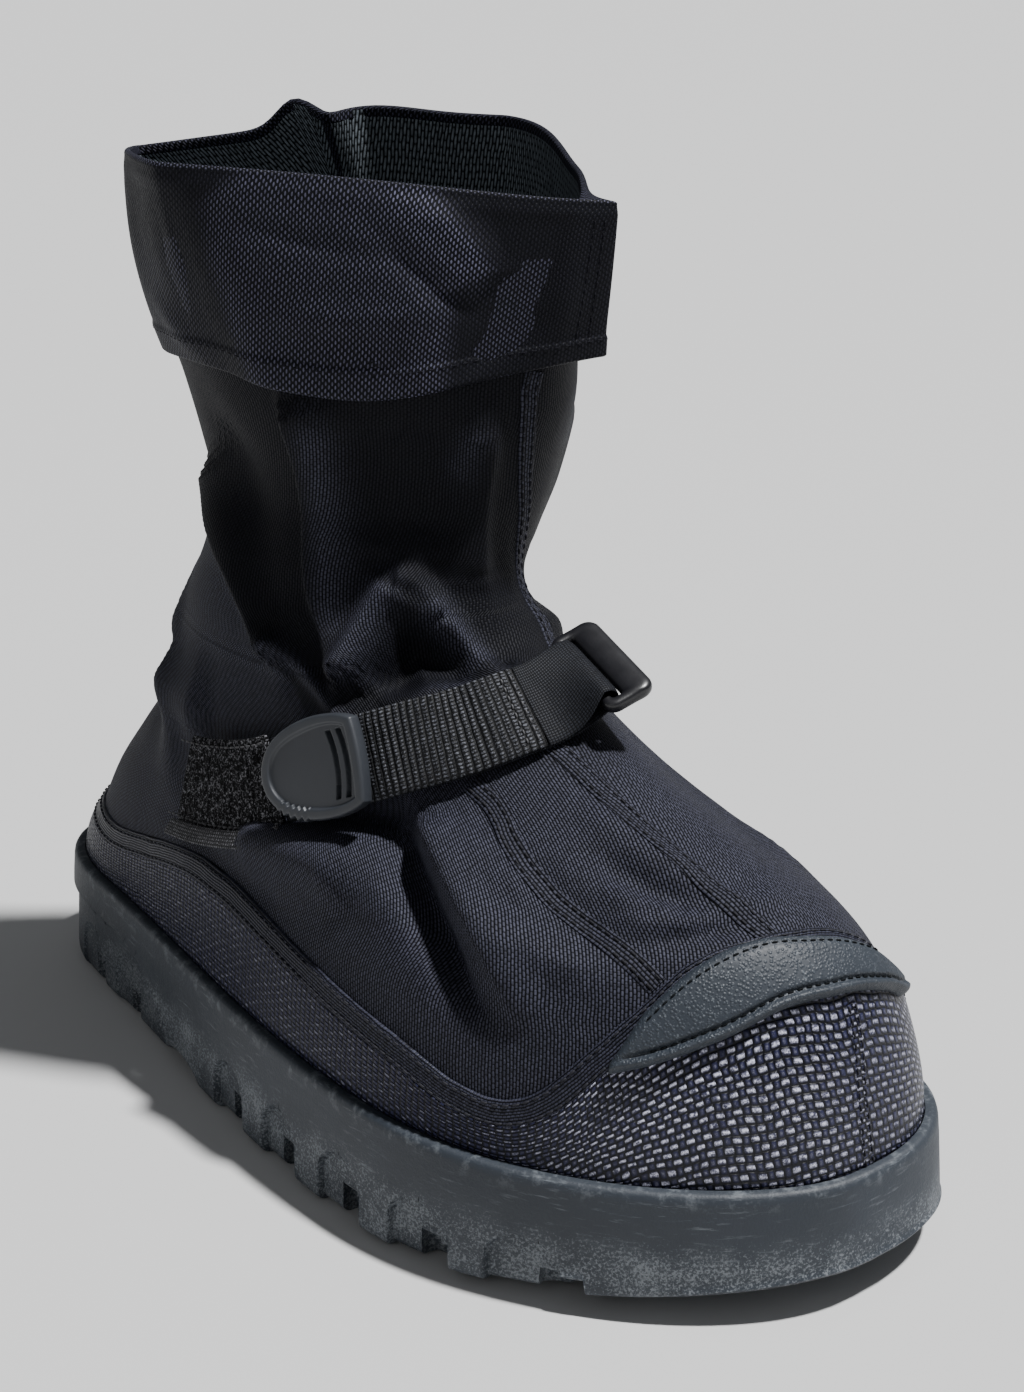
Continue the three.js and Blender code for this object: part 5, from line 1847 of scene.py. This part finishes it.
@dataclass
class StrapPath:
    """Path between the strap's two layers, from its sewn end over the instep to the buckle's near bar."""

    width: float = 25.0
    tape: float = 1.2
    webbing: float = 1.8
    lift: float = 1.2
    tilt: float = 0.24
    parting: float = 15.0
    near_bar: float = 3.4
    buckle_thickness: float = 4.0
    bar: tuple[float, float] = (8.5, 0.50)
    stand: float = 10.2
    forward_shares: Colour = (0.787, -0.253, 0.562)
    across_shares: tuple[float, float, float] = (-0.404, -0.901, 0.160)
    line: tuple = (
        (-117, 0.325), (-106, 0.342), (-94, 0.374), (-80, 0.416), (-67.5, 0.441), (-53.5, 0.462), (
            -38, 0.478
        ),
        (-22, 0.491), (-7, 0.498),
    )
    points: np.ndarray = field(init=False)
    normals: np.ndarray = field(init=False)
    run: np.ndarray = field(init=False)

    def __post_init__(self) -> None:
        """Works out the path and its outward directions, finely sampled."""
        degrees, level = np.array(self.line).T
        normal = LAST.normal(degrees, level)
        height = self.lift + self.tape + LAST.clearance / 2 + self.width / 2 * math.sin(self.tilt)
        knots = LAST.point(degrees, level) + normal * height
        out = LAST.normal(np.array(self.bar[0]), np.array(self.bar[1]))
        turnwise = unit(
            LAST.point(self.bar[0] + 1.15, self.bar[1]) - LAST.point(self.bar[0] - 1.15, self.bar[1])
        )
        upward = np.cross(out, turnwise)
        basis = np.stack([turnwise, upward, out])
        self.forward = unit(np.array(self.forward_shares) @ basis)
        self.up = unit(np.cross(np.array(self.across_shares) @ basis, self.forward))
        self.middle = LAST.point(np.array(self.bar[0]), np.array(self.bar[1])) + out * self.stand
        self.across = np.cross(self.forward, self.up)
        ahead = np.vstack([knots[1:], self.middle])
        behind = np.vstack([knots[:1], knots[:-1]])
        forward = unit(ahead - behind)
        side = unit(np.cross(forward, normal))
        normal = normal * math.cos(self.tilt) + side * math.sin(self.tilt)
        both = np.column_stack([np.vstack([knots, self.middle]), np.vstack([normal, self.up])])
        steps = np.r_[0.0, np.cumsum(np.linalg.norm(np.diff(both[:, :3], axis=0), axis=1) ** 0.5)]
        fine = through_rows(np.column_stack([steps, both]), np.linspace(0, steps[-1], 1200))
        self.points, self.normals = fine[:, :3], unit(fine[:, 3:])
        self.run = run_of(self.points)

    @property
    def length(self) -> float:
        """Length of the path."""
        return float(self.run[-1])

    @property
    def bar_reach(self) -> float:
        """Distance from the bar's middle to the cloth round it."""
        return math.hypot(self.near_bar, self.buckle_thickness) / 2 + 2 * LAST.clearance

    def place(
        self, share: np.ndarray, side: float, thickness: float, extra: float = 0.0
    ) -> tuple[np.ndarray, ...]:
        """Places on one layer.

        Args:
            share: shares of the path.
            side: 1 for the upper layer, -1 for the lower.
            thickness: of that layer.
            extra: millimetres further out.

        Returns:
            Points, forward, outward and across directions.
        """
        at = np.asarray(share) * self.length
        left = self.length - at
        open_up = np.maximum(0, 1 - left / self.parting)
        gap = LAST.clearance / 2 + (self.bar_reach - LAST.clearance / 2) * smooth(open_up)
        forward = unit(picked(at, self.run, np.gradient(self.points, axis=0)))
        forward = unit(forward + (self.forward - forward) * open_up[..., None])
        normal = picked(at, self.run, self.normals)
        normal = unit(normal - (normal * forward).sum(-1, keepdims=True) * forward)
        point = picked(at, self.run, self.points) + normal * (side * (gap + thickness / 2) + extra)[..., None]
        return point, forward, normal, np.cross(forward, normal)


def strap_strip(
    point: np.ndarray,
    normal: np.ndarray,
    across: np.ndarray,
    width: np.ndarray | float,
    thickness: float,
    relief: np.ndarray | float = 0.0,
    sides: int = 15,
    power: float = 8.0,
) -> Patch:
    """A strap with a rounded flat section carried along places.

    The section is a superellipse |2a/width|^power + |2b/thickness|^2 = 1, sampled closely at its edges.

    Args:
        point: middles.
        normal: outward directions.
        across: directions across.
        width: its width, one or one for each place.
        thickness: its thickness.
        relief: millimetres added outwards over the top, one for each place.
        sides: samples on each face.
        power: how square the long edges are.

    Returns:
        The closed grid.
    """
    t = np.sin(np.linspace(-np.pi / 2, np.pi / 2, sides))
    high = np.sqrt(np.maximum(1 - np.abs(t) ** power, 0))
    a = np.r_[t, t[::-1][1:-1]]
    b = np.r_[high, -high[::-1][1:-1]]
    top = np.r_[high, np.zeros(sides - 2)]
    width = np.broadcast_to(np.asarray(width, float), point.shape[:1])
    relief = np.broadcast_to(np.asarray(relief, float), point.shape[:1])
    sideways = across[:, None] * (a[None] * width[:, None] / 2)[..., None]
    upward = normal[:, None] * (b[None] * thickness / 2 + top[None] * relief[:, None])[..., None]
    grid = point[:, None] + sideways + upward
    uv = np.stack(arrays(run_of(point)[:, None], a[None] * width[:, None] / 2), -1)
    return Patch(grid, uv, wrap=True)


def capped(patch: Patch) -> list[Patch]:
    """A strip with its two ends closed by rounding them down to their middles."""
    ends = []
    for row, nearer in ((0, 1), (-1, -2)):
        edge = patch.points[row]
        middle = edge.mean(0)
        outward = unit(edge.mean(0) - patch.points[nearer].mean(0)) * 0.35
        flat = np.stack([edge + (middle - edge) * m + outward * math.sqrt(m) for m in (0.0, 0.04, 0.12, 1.0)])
        uv = np.broadcast_to(patch.uv[row][None], (4,) + patch.uv[row].shape).copy()
        order = slice(None, None, -1) if row == 0 else slice(None)
        ends.append(Patch(flat[order], uv[order], wrap=True, slot=patch.slot))
    return [patch, *ends]


@dataclass
class Strap:
    """Instep strap: smooth tape round the buckle's bar, ribbed webbing, and the pile patch below."""

    path: StrapPath
    rib_pitch: float = 2.3
    tape_start: float = 0.36
    webbing_end: float = 0.44
    setback: float = 19.0
    patch_width: float = 28.0
    patch_start: float = 0.05
    patch_thickness: float = 1.8
    patch_slant: float = 0.4
    patch_drop: float = 1.2
    selvage_width: float = 5.6
    selvage_lift: float = 3.4
    selvage: RibbedWebbing = RibbedWebbing("patch_selvage", 1.1, (0.008, 0.008, 0.010), (0.20, 0.20, 0.22))
    patch_stitch: Stitch = Stitch(2.8, 2.1, 0.6)
    end_stitch: Stitch = Stitch(2.6, 2.0, 0.6)
    end_rows: tuple = (1.6, 4.4)
    tape_finish: WovenNylon = WovenNylon(
        "strap_tape", (0.003, 0.003, 0.004), (0.018, 0.020, 0.026), 0.8, 0.8, 0.1, 0.5, Weave.PLAIN
    )
    ribbed: RibbedWebbing = RibbedWebbing()
    pile: PileCloth = PileCloth()
    thread: Moulded = Moulded("strap_thread", (0.040, 0.040, 0.044), 0.6)

    def build(self) -> None:
        """Makes the tape, the webbing, the patch with its selvage, and the stitches."""
        p = self.path
        under = p.place(np.linspace(self.tape_start, 1, 90), -1, p.tape)
        end = 1 - self.setback / p.length
        over = p.place(np.linspace(1, end + 0.004, 28), 1, p.tape)
        radius = p.bar_reach + p.tape / 2
        bend = np.radians(np.linspace(-90, 90, 18)[1:-1])
        out = -p.forward[None] * np.cos(bend)[:, None] - p.up[None] * np.sin(bend)[:, None]
        point = np.concatenate([under[0], p.middle[None] - out * radius, over[0]])
        normal = np.concatenate([under[2], out, -over[2]])
        across = np.concatenate([under[3], np.broadcast_to(under[3][-1], out.shape), over[3]])
        tape = strap_strip(point, normal, across, p.width, p.tape)
        mesh_piece(
            "instep_tape", capped(tape), [self.tape_finish.material()],
            ("strap_tape",), weld=True,
        )
        share = np.linspace(self.webbing_end, end, 330)
        place = p.place(share, 1, p.webbing)
        run = share * p.length
        rib = 0.32 * np.abs(np.sin(np.pi * run / self.rib_pitch)) ** 0.6 - 0.25
        edge = 0.35 * np.abs(np.sin(np.pi * run / self.rib_pitch))
        webbing = strap_strip(place[0], place[2], place[3], p.width - 0.3 + edge, p.webbing, rib, 17)
        mesh_piece(
            "ribbed_strap", capped(webbing), [self.ribbed.material()],
            ("strap_webbing",), weld=True,
        )
        share = np.linspace(self.patch_start, self.tape_start - 0.004, 90)
        place = p.place(share, -1, self.patch_thickness, self.patch_drop)
        slant = place[3] - self.patch_slant * (1 - share / self.tape_start)[:, None] * place[1]
        fuzz = np.random.default_rng(7).normal(0, 0.12, len(share))
        patch = strap_strip(place[0], place[2], slant, self.patch_width, self.patch_thickness, fuzz, 33)
        mesh_piece(
            "pile_patch", capped(patch), [self.pile.material()], ("loop_patch",), weld=True
        )
        low = place[0] + slant * (self.patch_width / 2 + 1.0) + place[2] * self.selvage_lift
        lip = unit(slant + 0.4 * place[2])
        edge = strap_strip(low, unit(place[2] - 0.4 * slant), lip, self.selvage_width, 0.9, 0.0, 11)
        mesh_piece(
            "patch_selvage", capped(edge), [self.selvage.material()], weld=True
        )
        beads = []
        share = np.linspace(0.01, self.tape_start - 0.01, 60)
        place = p.place(share, -1, self.patch_thickness, self.patch_drop)
        slanting = 1 - np.linspace(0.01, self.tape_start, 60) / self.tape_start
        lean = place[3] - self.patch_slant * slanting[:, None] * place[1]
        half = self.patch_width / 2 - 2.2
        for side in (-1, 1):
            line = place[0] + lean * side * half + place[2] * self.patch_thickness * 0.5
            beads += self.patch_stitch.along(line, place[2])
        for back in self.end_rows:
            middle = p.place(np.array([end - back / p.length]), 1, p.webbing)
            aside = middle[3] * np.linspace(-10.5, 10.5, 30)[:, None]
            line = middle[0] + aside + middle[2] * (p.webbing / 2 + 0.05)
            beads += self.end_stitch.along(line, np.broadcast_to(middle[2], line.shape))
        mesh_piece("strap_stitches", beads, [self.thread.material()], weld=True)


@dataclass
class PullTab:
    """Moulded tab on the strap's end: rounded shield with a raised rim, two slots and a toothed edge."""

    path: StrapPath
    length: float = 36.5
    width: float = 27.5
    thickness: float = 4.2
    recess: float = 1.0
    centre: float = 0.480
    edge_round: float = 1.1
    tooth: float = 1.2
    tooth_pitch: float = 2.7
    slots: tuple = (5.6, 9.4)
    slot_bow: float = 1.6
    slot_half: float = 0.85
    slot_reach: float = 9.6
    slot_depth: float = 1.7
    plastic: Moulded = Moulded("tab_plastic", (0.022, 0.025, 0.031), 0.48, 0.03)

    def outline(self, count: int) -> np.ndarray:
        """The shield: four Bezier arcs from the flat end round the narrow one, at even steps.

        Args:
            count: how many points.

        Returns:
            Points along and across the strap.
        """
        a, b = self.length / 2, self.width / 2
        arcs = (
            ((a, -b * 0.86), (a * 1.08, -b * 0.3), (a * 1.08, b * 0.3), (a, b * 0.86)),
            ((a, b * 0.86), (a * 0.6, b * 1.16), (-a * 0.25, b * 1.12), (-a * 0.68, b * 0.72)),
            ((-a * 0.68, b * 0.72), (-a * 1.11, b * 0.32), (-a * 1.11, -b * 0.40), (-a * 0.66, -b * 0.76)),
            ((-a * 0.66, -b * 0.76), (-a * 0.2, -b * 1.14), (a * 0.6, -b * 1.16), (a, -b * 0.86)),
        )
        t = np.linspace(0, 1, 60, endpoint=False)[:, None]
        curve = []
        for p0, p1, p2, p3 in (tuple(np.array(p)[None] for p in arc) for arc in arcs):
            curve.append((1 - t) ** 3 * p0 + 3 * t * (1 - t) ** 2 * p1 + 3 * t**2 * (1 - t) * p2 + t**3 * p3)
        curve = np.concatenate(curve)
        closed = np.vstack([curve, curve[:1]])
        run = run_of(closed)
        return picked(np.linspace(0, run[-1], count, endpoint=False), run, closed)

    def build(self) -> None:
        """Makes the tab as rings of its outline drawn in to the middle, each at its own height."""
        edge = self.outline(440)
        run = run_of(edge)
        x, y = edge.T
        toothed = smooth((-1.0 - x) / 2.0) * smooth((x + 15.0) / 2.0) * smooth((-3.0 - y) / 2.0)
        reach = np.linalg.norm(edge, axis=1)
        tooth = self.tooth * toothed * np.abs(2 * ((run / self.tooth_pitch) % 1.0) - 1)
        edge = edge * (1 + (tooth - 0.4 * toothed) / reach)[:, None]
        reach = np.linalg.norm(edge, axis=1)
        rings, heights = [], []
        depths = np.r_[0.0, 0.15, 0.5, 0.9, 1.6, 2.4, 2.9, 3.2, 3.5, 3.8, np.linspace(4.1, 13.2, 46)]
        for depth in depths:
            scale = np.maximum(1 - depth / reach, 0.03)
            rings.append(edge * scale[:, None])
            heights.append(np.full(len(edge), depth))
        xy, depth = np.stack(rings), np.stack(heights)
        inward = (1 - depth / self.edge_round).clip(0, 1)
        round_off = self.edge_round * (1 - np.sqrt(np.clip(1 - inward**2, 0, 1)))
        z = self.thickness - round_off - self.recess * smooth((depth - 2.9) / 0.8)
        x, y = xy[..., 0], xy[..., 1]
        for back in self.slots:
            bow = self.length / 2 - back + self.slot_bow * (1 - (y / 10.0) ** 2)
            inside = np.minimum(self.slot_half - np.abs(x - bow), self.slot_reach - np.abs(y))
            z = z - self.slot_depth * smooth(inside / 0.3 + 0.4)
        side = [np.concatenate([edge, np.full((len(edge), 1), h)], 1) for h in (0.0, 0.3, 1.5)]
        side[0][:, :2] *= 0.985
        top = np.concatenate([xy, z[..., None]], -1)
        middle = np.zeros((1, len(edge), 3))
        bottom = middle.copy()
        middle[..., 2] = top[-1, :, 2].mean()
        local = np.concatenate([bottom, np.stack(side), top, middle])
        place = self.path.place(np.array([self.centre]), 1, self.path.webbing)
        point, forward, normal, _ = (v[0] for v in place)
        seat = point + normal * (self.path.webbing / 2 + LAST.clearance)
        sideways = np.cross(normal, forward)
        grid = seat + local[..., :1] * forward + local[..., 1:2] * sideways + local[..., 2:] * normal
        mesh_piece(
            "pull_tab_shield", [Patch(grid, wrap=True)], [self.plastic.material()],
            ("pull_tab",), weld=True,
        )


@dataclass
class Buckle:
    """Rectangular ring: a thick rounded outer bar, two sides, and the near bar in the strap's loop."""

    path: StrapPath
    outer_bar: float = 8.9
    slot: float = 3.1
    side: float = 3.6
    play: float = 0.8
    thickness: float = 4.0
    plastic: Moulded = Moulded("buckle_plastic", (0.006, 0.006, 0.008), 0.38, 0.02, 0.1)

    @staticmethod
    def rounded(half: float, low: float, high: float, radius: float, count: int) -> np.ndarray:
        """Outline of a rounded rectangle, starting in the middle of its near side.

        Args:
            half: half its width.
            low: its near side.
            high: its far side.
            radius: of its corners.
            count: points round each corner.

        Returns:
            The points, with as many on each straight side as round a corner.
        """
        turn = np.linspace(0, np.pi / 2, count)
        points = []
        for cx, cy, start in (
            (half - radius, low + radius, -np.pi / 2),
            (half - radius, high - radius, 0.0),
            (-half + radius, high - radius, np.pi / 2),
            (-half + radius, low + radius, np.pi),
        ):
            points.append(
                np.column_stack([cx + radius * np.cos(start + turn), cy + radius * np.sin(start + turn)])
            )
        corners = np.stack(points)
        line = []
        for i in range(4):
            line.append(corners[i])
            a, b = corners[i][-1], corners[(i + 1) % 4][0]
            t = np.linspace(0, 1, 14)[1:-1, None]
            line.append(a + (b - a) * t)
        return np.concatenate(line)

    def build(self) -> None:
        """Carries an oval section round the ring, as wide as the frame is at each place."""
        p = self.path
        inner_half = p.width / 2 + self.play
        low, high = -p.near_bar / 2, -p.near_bar / 2 + p.near_bar + self.slot + self.outer_bar
        outer = self.rounded(inner_half + self.side, low, high, self.side, 10)
        inner = self.rounded(inner_half, low + p.near_bar, low + p.near_bar + self.slot, self.play, 10)
        middle = (outer + inner) / 2
        span = outer - inner
        half = np.linalg.norm(span, axis=1) / 2
        phi = np.linspace(0, 2 * np.pi, 20, endpoint=False)
        shape = lambda v: np.sign(v) * np.abs(v) ** 0.75
        far = smooth((middle[:, 1] - high + self.outer_bar) / 4.0)
        tall = self.thickness / 2 * (1 + 0.12 * far)
        flat = middle[None] + span[None] / 2 * shape(np.cos(phi))[:, None, None]
        lift = tall[None] * shape(np.sin(phi))[:, None]
        basis_up = np.cross(p.across, p.forward)
        grid = p.middle + flat[..., :1] * p.across + flat[..., 1:] * p.forward + lift[..., None] * basis_up
        piece = mesh_piece(
            "buckle_ring", [Patch(grid, wrap=True, loop=True)], [self.plastic.material()],
            ("buckle",),
        )
        close_up(piece)


@dataclass
class Insole:
    """Plain board inside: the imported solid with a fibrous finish."""

    finish: Moulded = Moulded("insole_board", (0.030, 0.031, 0.033), 0.85, 0.25)

    def dress(self) -> None:
        """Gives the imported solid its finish."""
        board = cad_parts["insole"]
        material = self.finish.material()
        board.data.materials.clear()
        board.data.materials.append(material)


# Studio


@dataclass
class Studio:
    """Pale floor, soft lights, and the camera at the photograph's angle."""

    eye: tuple[float, float, float] = (-338.73, -496.84, 356.10)
    forward: Colour = (0.5655, 0.7444, -0.3551)
    right: Colour = (0.7955, -0.606, -0.0037)
    lens: float = 57.19
    sun_from: Colour = (0.27, -0.27, 1.0)
    sun_strength: float = 7.4
    sun_softness: float = 4.0
    sky_strength: float = 0.17
    floor_half: float = 14.0
    floor_tone: float = 0.52

    def light(self, name: str, place: tuple, target: tuple, size: float, power: float) -> None:
        """Adds a square soft light.

        Args:
            name: its name.
            place: where it stands, in metres.
            target: what it points at.
            size: its side in metres.
            power: watts.
        """
        data = bpy.data.lights.new(name, "AREA")
        data.size = size
        data.energy = power
        lamp = put(name, data)
        lamp.location = place
        lamp.rotation_euler = (Vector(target) - Vector(place)).to_track_quat("-Z", "Y").to_euler()

    def build(self) -> None:
        """Sets the camera, the floor, the world and the lights."""
        camera_data = bpy.data.cameras.new("camera")
        camera_data.lens = self.lens
        camera_data.sensor_width = 36.0
        camera = put("camera", camera_data)
        f = unit(np.array(self.forward))
        r = np.array(self.right)
        r = unit(r - (r @ f) * f)
        u = np.cross(r, f)
        eye = (np.array(self.eye) + SHIFT) * MM
        rows = [(*(float(v[i]) for v in (r, u, -f)), float(eye[i])) for i in range(3)]
        camera.matrix_world = Matrix((*rows, (0, 0, 0, 1)))
        bpy.context.scene.camera = camera
        tree = Tree("studio_floor")
        floor_material = tree.finish(Base_Color=(self.floor_tone,) * 3, Roughness=0.7)
        size = self.floor_half
        mesh = bpy.data.meshes.new("floor")
        mesh.from_pydata(
            [(-size, -size, 0), (size, -size, 0), (size, size, 0), (-size, size, 0)], [], [(0, 1, 2, 3)]
        )
        mesh.materials.append(floor_material)
        put("floor", mesh)
        world = bpy.data.worlds.new("studio")
        world.use_nodes = True
        background = world.node_tree.nodes["Background"]
        background.inputs[0].default_value = (0.93, 0.96, 1.0, 1)
        background.inputs[1].default_value = self.sky_strength
        bpy.context.scene.world = world
        sun = bpy.data.lights.new("sun", "SUN")
        sun.energy = self.sun_strength
        sun.angle = math.radians(self.sun_softness)
        lamp = put("sun", sun)
        lamp.rotation_euler = Vector(self.sun_from).to_track_quat("Z", "Y").to_euler()
        self.light("side", (-1.1, -0.5, 0.75), (0, 0, 0.12), 0.8, 1.2)


def main() -> None:
    """Builds the studio and every sub-assembly, and reports each."""
    logging.basicConfig(level=logging.INFO, format="%(message)s")
    Studio().build()
    path = StrapPath()
    for part in (Outsole(), Upper(), Rand(), ToeBumper(), Cuff(), Strap(path), PullTab(path), Buckle(path)):
        part.build()
        log.info("built %s", type(part).__name__)
    Insole().dress()
    log.info("dressed Insole")


if __name__ == "__main__":
    main()
